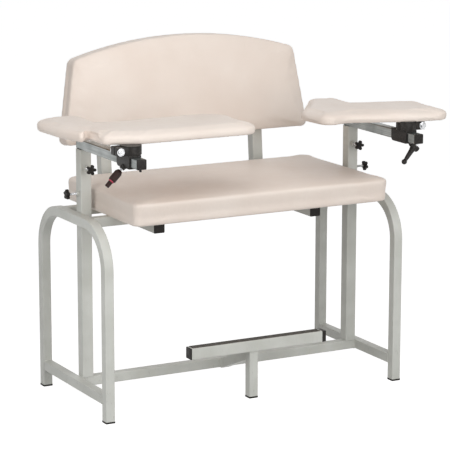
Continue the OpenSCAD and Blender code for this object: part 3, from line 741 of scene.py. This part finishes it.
vinyl, tree, shader, place = new_finish("vinyl", 0.46)
shader.inputs["Sheen Weight"].default_value = 0.12
two_tone(tree, shader, mottle(tree, place, 5, 2), 0.35, 0.65, VINYL, VINYL_DEEP)
gloss(tree, shader, mottle(tree, place, 45), 0.4, 0.52)
pebbles = tree.nodes.new("ShaderNodeTexVoronoi")
pebbles.inputs["Scale"].default_value = 700
pebbles.feature = "SMOOTH_F1"
tree.links.new(place, pebbles.inputs["Vector"])
fine = relief(tree, shader, pebbles.outputs["Distance"], 0.00022)
relief(tree, shader, mottle(tree, place, 28, 2), 0.0012, fine)

seat_outline = [(-SEAT_HALF, SEAT_FRONT, SEAT_CORNER), (SEAT_HALF, SEAT_FRONT, SEAT_CORNER),
                (SEAT_HALF, SEAT_REAR, SEAT_CORNER), (-SEAT_HALF, SEAT_REAR, SEAT_CORNER)]
on_rails = Matrix.Translation((0, 0, FRAME_TOP))
seat = foam_shape("seat_pad", seat_outline, side_high=SEAT_SIDE, roll_wide=0.017, roll_high=0.008,
                  draw=0.005, hem=0.048, crown=0.004, middle=(0, (SEAT_FRONT + SEAT_REAR) / 2))
for vertex in seat.data.vertices:
    low = min(1.0, max(0.0, 1 - vertex.co.z / SEAT_SIDE))
    near = min(1.0, max(0.0, 1 - (vertex.co.y - SEAT_FRONT) / TUCK_DEEP))
    vertex.co.y += FRONT_TUCK * low * near
stuff(seat, grid=0.007, cap=0.005)
cover(seat, on_rails, "frame", "seat_cushion")
staples("seat_staples", seat_outline, 0.046, 0.042, on_rails, "frame")
dress(plywood, "seat_board")

bm = bmesh.new()
for x in (-SEAT_SCREW_X, SEAT_SCREW_X):
    for y in (-SEAT_RAIL_Y, SEAT_RAIL_Y):
        socket_screw(bm, Matrix.Translation((x, y, FRAME_TOP - TUBE)), SEAT_SCREW_LONG)
bolts = keep_piece("seat_bolts", bm, bright_steel, "frame")
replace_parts(bolts, "seat_screws")


# The backrest
# Foam on a plywood board in the same vinyl, with a low arch along its top. A flat vinyl
# panel with a piped edge closes its rear, and four screws hold it to the two uprights.

BACK_HALF = 0.475
BACK_TOP_HALF = 0.426
BACK_HIGH = 0.362
SHOULDER = 0.297
PIPING = 0.0024
BACK_SCREW_Z = (0.0652, 0.2244)
BACK_SCREW_LONG = 0.0466
rise = BACK_HIGH - SHOULDER
apex = SHOULDER + 1.85 * rise
slope = math.atan((apex - SHOULDER) / BACK_TOP_HALF)
arch_radius = (apex - BACK_HIGH) / (1 / math.cos(slope) - 1)
back_outline = [(-BACK_HALF, 0, 0.027), (BACK_HALF, 0, 0.027), (BACK_TOP_HALF, SHOULDER, 0.036),
                (0, apex, arch_radius), (-BACK_TOP_HALF, SHOULDER, 0.036)]
facing = on_back @ Matrix.Rotation(math.pi / 2, 4, "X")
back = foam_shape("back_pad", back_outline, side_high=0.052, roll_wide=0.024, roll_high=0.010,
                  draw=0.004, hem=0.030, crown=0.010, middle=(0, BACK_HIGH / 2))
stuff(back, grid=0.007, cap=0.005)
cover(back, facing, "frame", "back_cushion")
dress(plywood, "back_board")

bm = bmesh.new()
rings = []
for inset, z in ((0.0230, 0.0005), (0.0220, -0.0016), (0.0236, -0.0029), (0.0300, -0.0030)):
    rings.append([facing @ Vector((x, y, z)) for x, y in outline_ring(back_outline, inset)])
skin(bm, rings)
keep_piece("rear_panel", bm, vinyl, "frame")

line = [Vector((x, y, 0)) for x, y in outline_ring(back_outline, 0.0205)]
up = Vector((0, 0, 1))
rings = []
for i, spot in enumerate(line):
    along = (line[(i + 1) % len(line)] - line[i - 1]).normalized()
    side = Vector((along.y, -along.x, 0))
    middle = spot - up * 0.0022
    ways = [side * math.cos(a) + up * math.sin(a) for a in around(10)]
    rings.append([facing @ (middle + way * PIPING) for way in ways])
bm = bmesh.new()
skin(bm, rings + rings[:1], False)
bmesh.ops.remove_doubles(bm, verts=bm.verts, dist=0.00001)
keep_piece("rear_piping", bm, vinyl, "frame")

bm = bmesh.new()
for side in (-1, 1):
    for height in BACK_SCREW_Z:
        spot = on_back @ turned((side * BACK_TUBE_X, POST, height), 90, "X")
        socket_screw(bm, spot, BACK_SCREW_LONG)
bolts = keep_piece("back_bolts", bm, bright_steel, "frame")
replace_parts(bolts, "back_screws")


# The arms
# On each side a bare steel tube stands on an inner post that slides in the chair's post.
# A black plug closes its rear, and a black stop that a screw holds from below its front.

STEEL = "#b2b5b4"
STEEL_DULL = "#8d9190"
STEEL_STAIN = "#6d7371"
ARM_MID = 0.861575
ARM_FRONT = -0.42995
STOP_LONG = 0.006
STOP_SCREW = 0.004
STOP_SCREW_SET = 0.012


def drawn_steel(name, amounts):
    """Bare tube with fine draw marks along it."""
    finish, tree, shader, place = new_finish(name, 0.34, 1.0)
    marks = mottle(tree, stretched(tree, place, amounts), 1, 5, 0.6)
    clouds = between(tree, mottle(tree, place, 14, 3), 0.4, 0.68, 0, 0.6)
    steel = mixed(tree, between(tree, marks, 0.35, 0.65, 0, 1), STEEL, STEEL_DULL)
    tree.links.new(mixed(tree, clouds, steel, STEEL_STAIN), shader.inputs["Base Color"])
    gloss(tree, shader, marks, 0.26, 0.42)
    relief(tree, shader, marks, 0.00006)
    return finish


dress(drawn_steel("drawn_steel_upright", (700, 700, 6)), "left_slide_post", "right_slide_post")
dress(drawn_steel("drawn_steel_level", (700, 6, 700)), "left_arm_tube", "right_arm_tube")
for side, word in SIDES:
    rear = turned((side * POST_X, POST / 2, ARM_MID), -90, "X")
    tube_cap(word + "_rear_plug", TUBE, CAP, rear, word + "_arm", word + "_arm_plug")
    front = turned((side * POST_X, ARM_FRONT + STOP_LONG, ARM_MID), 90, "X")
    tube_cap(word + "_front_stop", TUBE, STOP_LONG, front, word + "_arm", word + "_arm_stop")
    bm = bmesh.new()
    under = Matrix.Translation((side * POST_X, ARM_FRONT + STOP_SCREW_SET, ARM_MID - TUBE / 2))
    lathe(bm, [(0, -0.0058), (0.0018, -0.0058, 1), (0.0018, -0.008, 1), (STOP_SCREW - 0.0006, -0.008),
               (STOP_SCREW, -0.0074), (STOP_SCREW, 0.006)], under, 30)
    finish = plastic if side < 0 else bright_steel
    screw = keep_piece(word + "_stop_screw", bm, finish, word + "_arm")
    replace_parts(screw, "stop_screw_" + word)


# The star knobs
# Four black moulded knobs with five lobes on long plated screws. They thread through the
# nuts of the posts and press on the inner posts.

KNOB_SET = 0.032
LOBES = 5
LOBE_AT = 0.0120
LOBE = 0.0050
VALLEY = 0.0088
SCREW = 0.004
THREAD = 0.00125
THREAD_DEEP = 0.0007
STAR_LEVELS = ((0.0012, 0.0035), (0.0, 0.0047), (0.0, 0.0118), (0.0005, 0.0132), (0.0015, 0.0142),
               (0.0031, 0.0147))
DISH_LEVELS = ((0.0055, 0.0148), (0.0050, 0.0141), (0.0046, 0.0141), (0.0043, 0.0149), (0.002, 0.015))


def star_reach(a):
    """How far the knob reaches at an angle: a lobe, or the hollow between two."""
    pitch = math.tau / LOBES
    off = abs((a + pitch / 2) % pitch - pitch / 2)
    edge = math.asin(LOBE / LOBE_AT) * 0.96
    if off <= edge:
        return LOBE_AT * math.cos(off) + math.sqrt(LOBE ** 2 - (LOBE_AT * math.sin(off)) ** 2)
    rim = LOBE_AT * math.cos(edge) + math.sqrt(LOBE ** 2 - (LOBE_AT * math.sin(edge)) ** 2)
    share = (off - edge) / (pitch / 2 - edge)
    return VALLEY + (rim - VALLEY) * (1 - share) ** 2


def knob_ring(where, z, reach):
    """One level of a knob, whose edge is at a reach for each angle."""
    return [where @ polar(reach(a), a, z) for a in around(90)]


def threaded(bm, where, start, end, thread_start, thread_end):
    """A screw with a real thread between two heights, and plain ends."""
    steps = 20

    def ring(z, radius, cut):
        found = []
        for i, a in enumerate(around(steps)):
            turn = (z / THREAD - i / steps) % 1.0
            found.append(where @ polar(radius - cut * abs(2 * turn - 1), a, z))
        return found

    rings = [ring(start, SCREW * 0.75, 0), ring(start + 0.0008, SCREW, 0)]
    length = thread_end - thread_start
    count = int(length / THREAD * 5)
    for k in range(count + 1):
        rings.append(ring(thread_start + length * k / count, SCREW, THREAD_DEEP))
    rings.append(ring(end, SCREW, 0))
    skin(bm, rings)


for side, word in SIDES:
    for upper, height in HEIGHTS:
        where = knob_place(side, upper)
        out = where @ Matrix.Translation((0, 0, KNOB_SET))
        bm = bmesh.new()
        rings = [knob_ring(out, z, lambda a: star_reach(a) - inset) for inset, z in STAR_LEVELS]
        rings += [knob_ring(out, z, lambda a: radius) for radius, z in DISH_LEVELS]
        skin(bm, rings)
        lathe(bm, [(0.0045, 0.0), (0.0068, 0.0), (0.0074, 0.0006), (0.0074, 0.0045)], out, 40)
        body = "knob_" + word + "_" + height
        knob = keep_piece("star_" + word + "_" + height, bm, plastic, body, 40)
        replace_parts(knob, word + "_" + height + "_knob")
        bm = bmesh.new()
        threaded(bm, where, -0.002875, 0.042, 0.0, KNOB_SET + 0.001)
        screw = keep_piece("screw_" + word + "_" + height, bm, bright_steel, body, 60)
        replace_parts(screw, word + "_" + height + "_screw")


# The clamp blocks
# A black cast block slides on each arm tube. It is bored square for the tube, its lower
# rear corner is rounded, and a boss on its lower outer edge takes the clamp's screw.

BLOCK_FRONT = -0.38195
BLOCK_REAR = -0.29195
BLOCK_TOP = 0.88275
BLOCK_HALF = 0.021175
BLOCK_MID = (BLOCK_FRONT + BLOCK_REAR) / 2
BLOCK_LOW = BLOCK_TOP - 2 * BLOCK_HALF
BLOCK_ROUND = 0.002
BLOCK_REAR_ROUND = 0.012
BORE_HALF = 0.016175
BOSS = 0.009
BOSS_LONG = 0.013
BOSS_BORE = 0.0042
CAST = "#221f1d"
CAST_WORN = "#403c39"


def clamp_place(side):
    """Axis of a clamp's screw: Z runs outwards and down from the tube's lower outer edge."""
    corner = (side * (POST_X + TUBE / 2), BLOCK_MID, ARM_MID - TUBE / 2)
    return turned(corner, side * 135, "Y")


def carve(piece, bm):
    """Cuts built geometry out of a piece."""
    cutter = raw_piece("cutter", bm)
    cut = piece.modifiers.new("cut", "BOOLEAN")
    cut.operation = "DIFFERENCE"
    cut.solver = "EXACT"
    cut.object = cutter
    settle(piece)
    bpy.data.objects.remove(cutter)
    piece.data.shade_smooth()
    piece.data.set_sharp_from_angle(angle=math.radians(30))


def rounded_outline(corners):
    """An outline from corners that each have their own radius."""
    points = []
    for i in range(len(corners)):
        points += corner_arc(corners, i, 0, 8)
    return points


cast_black, tree, shader, place = new_finish("cast_black", 0.38)
shader.inputs["Specular IOR Level"].default_value = 0.2
two_tone(tree, shader, mottle(tree, place, 160, 5, 0.65), 0.5, 0.72, CAST, CAST_WORN)
gloss(tree, shader, mottle(tree, place, 70), 0.28, 0.46)
relief(tree, shader, mottle(tree, place, 1300, 3), 0.00008)

sideways = Matrix(((0, 0, 1, 0), (1, 0, 0, 0), (0, 1, 0, 0), (0, 0, 0, 1)))
outline = rounded_outline([(BLOCK_FRONT, BLOCK_LOW, BLOCK_ROUND),
                           (BLOCK_REAR, BLOCK_LOW, BLOCK_REAR_ROUND),
                           (BLOCK_REAR, BLOCK_TOP, BLOCK_ROUND),
                           (BLOCK_FRONT, BLOCK_TOP, BLOCK_ROUND)])
for side, word in SIDES:
    body = word + "_carriage"
    bm = bmesh.new()
    across = Matrix.Translation((side * POST_X, 0, 0)) @ sideways
    moulding(bm, outline, -BLOCK_HALF, BLOCK_HALF, 0.0016, 0.0016, across)
    block = keep_piece(word + "_block", bm, cast_black, body, 30)
    bm = bmesh.new()
    through = turned((side * POST_X, 0, ARM_MID), -90, "X")
    bore = round_square(2 * BORE_HALF, 0.0012)
    moulding(bm, bore, BLOCK_FRONT - 0.01, BLOCK_REAR + 0.01, 0.0001, 0.0001, through)
    carve(block, bm)
    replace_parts(block, word + "_clamp_block")
    bm = bmesh.new()
    lathe(bm, [(BOSS_BORE, 0.003), (BOSS + 0.002, 0.003), (BOSS + 0.0004, 0.0075), (BOSS, 0.009),
               (BOSS, BOSS_LONG - 0.001), (BOSS - 0.001, BOSS_LONG), (BOSS_BORE + 0.0004, BOSS_LONG),
               (BOSS_BORE, BOSS_LONG - 0.001), (BOSS_BORE, 0.004)], clamp_place(side), 40)
    keep_piece(word + "_boss", bm, cast_black, body, 30)


# The collars and their bolts
# A split black collar on each block holds the swivel pin of the pad. A plated hexagon
# bolt with a washer and a nut pulls its two ears together.

COLLAR_Y = -0.35095
COLLAR = 0.034
COLLAR_HIGH = 0.026
EAR_OUT = 0.056
EAR_HALF = 0.027
EAR_ROUND = 0.004
PIN = 0.0125
SLIT_HALF = 0.002
BOLT_AT = 0.046
WASHER = 0.0125

meet = math.asin(EAR_HALF / COLLAR)
outline = [(COLLAR * math.cos(a), COLLAR * math.sin(a))
           for a in (meet + (math.tau - 2 * meet) * k / 44 for k in range(45))]
for edge, turn in ((-1, -math.pi / 2), (1, 0)):
    x, y = EAR_OUT - EAR_ROUND, edge * (EAR_HALF - EAR_ROUND)
    for k in range(6):
        a = turn + math.pi / 2 * k / 5
        outline.append((x + EAR_ROUND * math.cos(a), y + EAR_ROUND * math.sin(a)))
slit = [(0.005, -SLIT_HALF), (0.07, -SLIT_HALF), (0.07, SLIT_HALF), (0.005, SLIT_HALF)]

for side, word in SIDES:
    body = word + "_carriage"
    where = turned((side * POST_X, COLLAR_Y, BLOCK_TOP), 180 if side < 0 else 0, "Z")
    bm = bmesh.new()
    moulding(bm, outline, 0, COLLAR_HIGH, 0.0008, 0.0014, where)
    collar = keep_piece(word + "_ring", bm, cast_black, body, 30)
    bm = bmesh.new()
    lathe(bm, [(PIN + 0.0001, -0.01), (PIN + 0.0001, COLLAR_HIGH + 0.01)], where, 48)
    carve(collar, bm)
    bm = bmesh.new()
    skin(bm, [[where @ Vector((x, y, z)) for x, y in slit] for z in (-0.01, COLLAR_HIGH + 0.01)])
    carve(collar, bm)
    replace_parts(collar, word + "_collar")
    spot = turned((side * (POST_X + BOLT_AT), COLLAR_Y, BLOCK_TOP + COLLAR_HIGH / 2), 90, "X")
    bm = bmesh.new()
    lathe(bm, [(0.0042, -0.0335), (0.0049, -0.0328), (0.0049, 0.0290)], spot, 30)
    lathe(bm, [(0.0051, EAR_HALF), (WASHER - 0.0005, EAR_HALF), (WASHER, EAR_HALF + 0.0004),
               (WASHER, EAR_HALF + 0.0016), (WASHER - 0.0005, EAR_HALF + 0.002),
               (0.0051, EAR_HALF + 0.002)], spot, 48)
    lathe(bm, [(0.0080, 0.0290), (0.0085, 0.0294, 1), (0.0085, 0.0342, 1), (0.0079, 0.0355),
               (0.0072, 0.0355), (0.0069, 0.0352), (0.0, 0.0352)], spot, 48)
    lathe(bm, [(0.0053, -0.0329), (0.0056, -0.0335), (0.0079, -0.0335), (0.0085, -0.0322, 1),
               (0.0085, -0.0273, 1), (0.0080, -0.0270)], spot, 48)
    bolt = keep_piece(word + "_bolt", bm, bright_steel, body, 28)
    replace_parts(bolt, word + "_collar_bolt")


# The clamp grip
# The left clamp has a turned grip of dark brown plastic on a plated stud, with shallow
# flutes for the fingers, a red ring and a thin ribbed tip.

BROWN = "#271815"
BROWN_WORN = "#3e2823"
RED = "#c4455a"
RED_DARK = "#a63348"
FLUTES = 12
FLUTE_DEEP = 0.0006
TIP_RIBS = 8
TIP_PITCH = 0.0022

brown_plastic, tree, shader, place = new_finish("brown_plastic", 0.4)
shader.inputs["Specular IOR Level"].default_value = 0.2
two_tone(tree, shader, mottle(tree, place, 240, 5, 0.65), 0.48, 0.72, BROWN, BROWN_WORN)
gloss(tree, shader, mottle(tree, place, 110), 0.3, 0.5)
relief(tree, shader, mottle(tree, place, 1800, 2), 0.00006)

red_plastic, tree, shader, place = new_finish("red_plastic", 0.35)
two_tone(tree, shader, mottle(tree, place, 200, 4), 0.4, 0.7, RED, RED_DARK)
gloss(tree, shader, mottle(tree, place, 130), 0.28, 0.44)
relief(tree, shader, mottle(tree, place, 1500, 2), 0.00005)

on_grip = clamp_place(-1)
profile = [(0.0046, 0.0200), (0.0072, 0.0200), (0.0080, 0.0207), (0.0086, 0.0222), (0.0118, 0.0278),
           (0.0125, 0.0300), (0.0125, 0.0330, 1), (0.0125, 0.0440, 1), (0.0124, 0.0550, 1),
           (0.0122, 0.0580), (0.0117, 0.0602), (0.0105, 0.0616), (0.0090, 0.0620), (0.0076, 0.0620),
           (0.0074, 0.0623), (0.0074, 0.0660)]
for k in range(TIP_RIBS):
    z = 0.0664 + TIP_PITCH * k
    profile += [(0.0075, z), (0.0075, z + 0.0012), (0.0071, z + 0.0015), (0.0071, z + 0.0018)]
profile += [(0.0073, 0.0844), (0.0066, 0.0856), (0.0045, 0.0860), (0.0, 0.0860)]
bm = bmesh.new()
rings = []
for radius, z, *fluted in profile:
    deep = FLUTE_DEEP if fluted else 0
    ring = []
    for a in around(72):
        reach = max(radius - deep * (0.5 + 0.5 * math.cos(FLUTES * a)), NEEDLE)
        ring.append(on_grip @ polar(reach, a, z))
    rings.append(ring)
skin(bm, rings)
grip = keep_piece("turned_grip", bm, brown_plastic, "clamp_grip", 30)
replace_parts(grip, "grip_handle")

bm = bmesh.new()
lathe(bm, [(0.00752, 0.0623), (0.0086, 0.0623), (0.0090, 0.0627), (0.0090, 0.0656), (0.0086, 0.0660),
           (0.00752, 0.0660)], on_grip, 48)
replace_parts(keep_piece("red_band", bm, red_plastic, "clamp_grip", 30), "grip_ring")

bm = bmesh.new()
threaded(bm, on_grip, -0.00094, 0.036, 0.001, 0.021)
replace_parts(keep_piece("grip_screw", bm, bright_steel, "clamp_grip", 60), "grip_stud")


# The clamp lever
# The right clamp has a cast black lever that is pushed on a splined stud: a round hub
# with a cap, and a tapered arm with a ball at its end.

LEVER_SET = 0.018
HUB_LONG = 0.036
LEVER_LONG = 0.061
LEVER_TURN = 83
BALL = 0.0092

on_lever = clamp_place(1)
arm_way = on_lever @ turned((0, 0, LEVER_SET + HUB_LONG / 2), LEVER_TURN, "Y")
bm = bmesh.new()
lathe(bm, [(0.0044, 0.0180), (0.0090, 0.0180), (0.0100, 0.0192), (0.0104, 0.0360), (0.0100, 0.0520),
           (0.0088, 0.0537), (0.0060, 0.0540), (0.0, 0.0540)], on_lever, 48)
half_turn = [math.pi * k / 18 for k in range(4, 19)]
ball = [(BALL * math.sin(a), LEVER_LONG - BALL * math.cos(a)) for a in half_turn]
lathe(bm, [(0.0, -0.004), (0.0112, -0.002), (0.0108, 0.009), (0.0088, 0.018), (0.0080, 0.030),
           (0.0073, 0.043), (0.0066, 0.049)] + ball, arm_way, 40)
lever = raw_piece("cast_lever", bm)
fuse = lever.modifiers.new("fuse", "REMESH")
fuse.mode = "VOXEL"
fuse.voxel_size = 0.0008
ease = lever.modifiers.new("ease", "SMOOTH")
ease.factor = 0.5
ease.iterations = 4
settle(lever)
lever.data.materials.clear()
lever.data.materials.append(cast_black)
lever.data.shade_smooth()
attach(lever, "clamp_lever")
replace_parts(lever, "lever_handle")

bm = bmesh.new()
threaded(bm, on_lever, -0.00094, 0.034, 0.001, 0.019)
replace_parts(keep_piece("lever_screw", bm, bright_steel, "clamp_lever", 60), "lever_stud")


# The arm pads
# Each pad is one piece of plywood with thin firm foam and the same vinyl: a long rest for
# the forearm and, to the rear, a rest for the elbow. A steel plate with the swivel pin is
# screwed under it, coloured near black as painted shade for the shadow under the pad.

PAD_Z = 0.91205
PLATE = 0.003
# The plate's near-black steel colour is painted shade, standing for the shadow under the pad.
PAINTED_SHADE_STEEL = "#2f2d2c"
PAINTED_SHADE_STEEL_WORN = "#4b4846"
LEFT_SIZE = (0.614, 0.458)
LEFT_PAD = [(0.749, -0.024, 0.120), (0.749, 0.583, 0.218), (0.029, 0.550, 0.066),
            (0.042, 0.980, 0.131), (-0.261, 0.980, 0.207), (-0.245, 0.496, 0.175),
            (-0.189, 0.146, 0.030), (-0.137, 0.343, 0.013), (-0.128, 0.070, 0.055),
            (0.043, -0.020, 0.131)]
RIGHT_SIZE = (0.462, 0.450)
RIGHT_PAD = [(-0.636, 0.038, 0.100), (-0.415, 0.091, 0.133), (-0.004, -0.078, 0.444),
             (0.321, -0.122, 0.100), (0.351, 0.387, 0.067), (-0.108, 0.540, 0.056),
             (-0.099, 0.860, 0.078), (-0.307, 0.891, 0.078), (-0.662, 0.389, 0.133)]
PADS = ((-1, "left", LEFT_SIZE, LEFT_PAD), (1, "right", RIGHT_SIZE, RIGHT_PAD))
PLATE_SCREW_AT = 0.025

# Near-black steel for the pad plates and their screws: painted shade for the shadow under the pads.
steel_painted_shade, tree, shader, place = new_finish("plate_steel_painted_shade", 0.42, 0.9)
two_tone(tree, shader, mottle(tree, place, 120, 5), 0.42, 0.7, PAINTED_SHADE_STEEL, PAINTED_SHADE_STEEL_WORN)
gloss(tree, shader, mottle(tree, place, 260, 3), 0.32, 0.5)
relief(tree, shader, mottle(tree, place, 1100, 2), 0.00006)

for side, word, (wide, deep), shares in PADS:
    body = word + "_pad"
    outline = [(x * wide, y * deep, r * deep) for x, y, r in shares]
    where = Matrix.Translation((side * POST_X, COLLAR_Y, PAD_Z))
    pad = foam_shape(word + "_pad_top", outline, side_high=0.017, roll_wide=0.030, roll_high=0.016,
                     draw=0.004, hem=0.018, crown=0, middle=(0, 0))
    stuff(pad, grid=0.0045, cap=0.004, held_below=0.004)
    cover(pad, where, body, word + "_pad_cushion")
    staples(word + "_staples", outline, 0.0165, 0.034, where, body)
    dress(plywood, word + "_pad_board")
    bm = bmesh.new()
    lathe(bm, [(PIN, -0.0286), (PIN, -PLATE - 0.0012), (PIN + 0.0016, -PLATE), (COLLAR - 0.0008, -PLATE),
               (COLLAR, -PLATE + 0.0006), (COLLAR, 0)], where, 64)
    for a in around(4):
        spot = where @ Matrix.Translation(polar(PLATE_SCREW_AT, a + math.pi / 4, -PLATE + 0.0009))
        socket_screw(bm, spot, 0.002, head=0.0036, head_high=0.0012, shank=0.002)
    plate = keep_piece(word + "_plate", bm, steel_painted_shade, body, 30)
    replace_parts(plate, word + "_pad_plate")


# The studio
# A plain pale floor that runs out of sight, soft lights from the front and the left, and
# the camera where the photograph was taken, with a long lens and no shift.

FLOOR_SHADE = 0.5
FLOOR_GLOW = 0.84
SKY_LIGHT = 0.32

scene = bpy.context.scene
scene.view_settings.view_transform = "Standard"


def seen_directly(tree):
    """One where the camera, a mirror or clear plastic sees the surface, and zero elsewhere."""
    path = tree.nodes.new("ShaderNodeLightPath")
    total = path.outputs["Is Camera Ray"]
    for other in ("Is Glossy Ray", "Is Transmission Ray"):
        add = tree.nodes.new("ShaderNodeMath")
        add.operation = "MAXIMUM"
        tree.links.new(total, add.inputs[0])
        tree.links.new(path.outputs[other], add.inputs[1])
        total = add.outputs[0]
    return total


world = bpy.data.worlds.new("studio")
scene.world = world
tree = bare_tree(world)
sky = tree.nodes.new("ShaderNodeBackground")
sky.inputs["Color"].default_value = (1, 1, 1, 1)
tree.links.new(between(tree, seen_directly(tree), 0, 1, SKY_LIGHT, 1), sky.inputs["Strength"])
out = tree.nodes.new("ShaderNodeOutputWorld")
tree.links.new(sky.outputs["Background"], out.inputs["Surface"])

paper = bpy.data.materials.new("white_floor")
tree = bare_tree(paper)
matt = tree.nodes.new("ShaderNodeBsdfDiffuse")
matt.inputs["Color"].default_value = (FLOOR_SHADE, FLOOR_SHADE, FLOOR_SHADE, 1)
glow = tree.nodes.new("ShaderNodeEmission")
glow.inputs["Color"].default_value = (1, 1, 1, 1)
tree.links.new(between(tree, seen_directly(tree), 0, 1, 0, FLOOR_GLOW), glow.inputs["Strength"])
both = tree.nodes.new("ShaderNodeAddShader")
tree.links.new(matt.outputs[0], both.inputs[0])
tree.links.new(glow.outputs[0], both.inputs[1])
out = tree.nodes.new("ShaderNodeOutputMaterial")
tree.links.new(both.outputs[0], out.inputs["Surface"])

bm = bmesh.new()
bmesh.ops.create_grid(bm, x_segments=8, y_segments=8, size=60)
floor = raw_piece("floor", bm)
floor.data.materials.append(paper)
floor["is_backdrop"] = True


def soft_light(name, at, towards, wide, power):
    """A large square lamp that faces a point."""
    lamp = bpy.data.lights.new(name, "AREA")
    lamp.size = wide
    lamp.energy = power
    light = bpy.data.objects.new(name, lamp)
    light.location = at
    light.rotation_euler = (Vector(towards) - Vector(at)).to_track_quat("-Z", "Y").to_euler()
    scene.collection.objects.link(light)


soft_light("front_light", at=(0.3, -3.0, 1.7), towards=(0, 0, 0.6), wide=2.4, power=53)
soft_light("left_light", at=(-1.7, -0.7, 1.05), towards=(-0.5, 0, 0.5), wide=1.0, power=8)
soft_light("top_light", at=(-0.3, -0.9, 3.1), towards=(0, -0.1, 0.7), wide=2.4, power=22)

camera_data = bpy.data.cameras.new("camera")
camera_data.lens = 176.80
camera_data.sensor_width = 36
camera_data.clip_end = 200
camera = bpy.data.objects.new("camera", camera_data)
camera.location = (-3.40563, -6.38783, 2.06502)
camera.rotation_euler = [math.radians(angle) for angle in (78.1476, -0.0679, -28.1550)]
scene.collection.objects.link(camera)
scene.camera = camera

low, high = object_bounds()
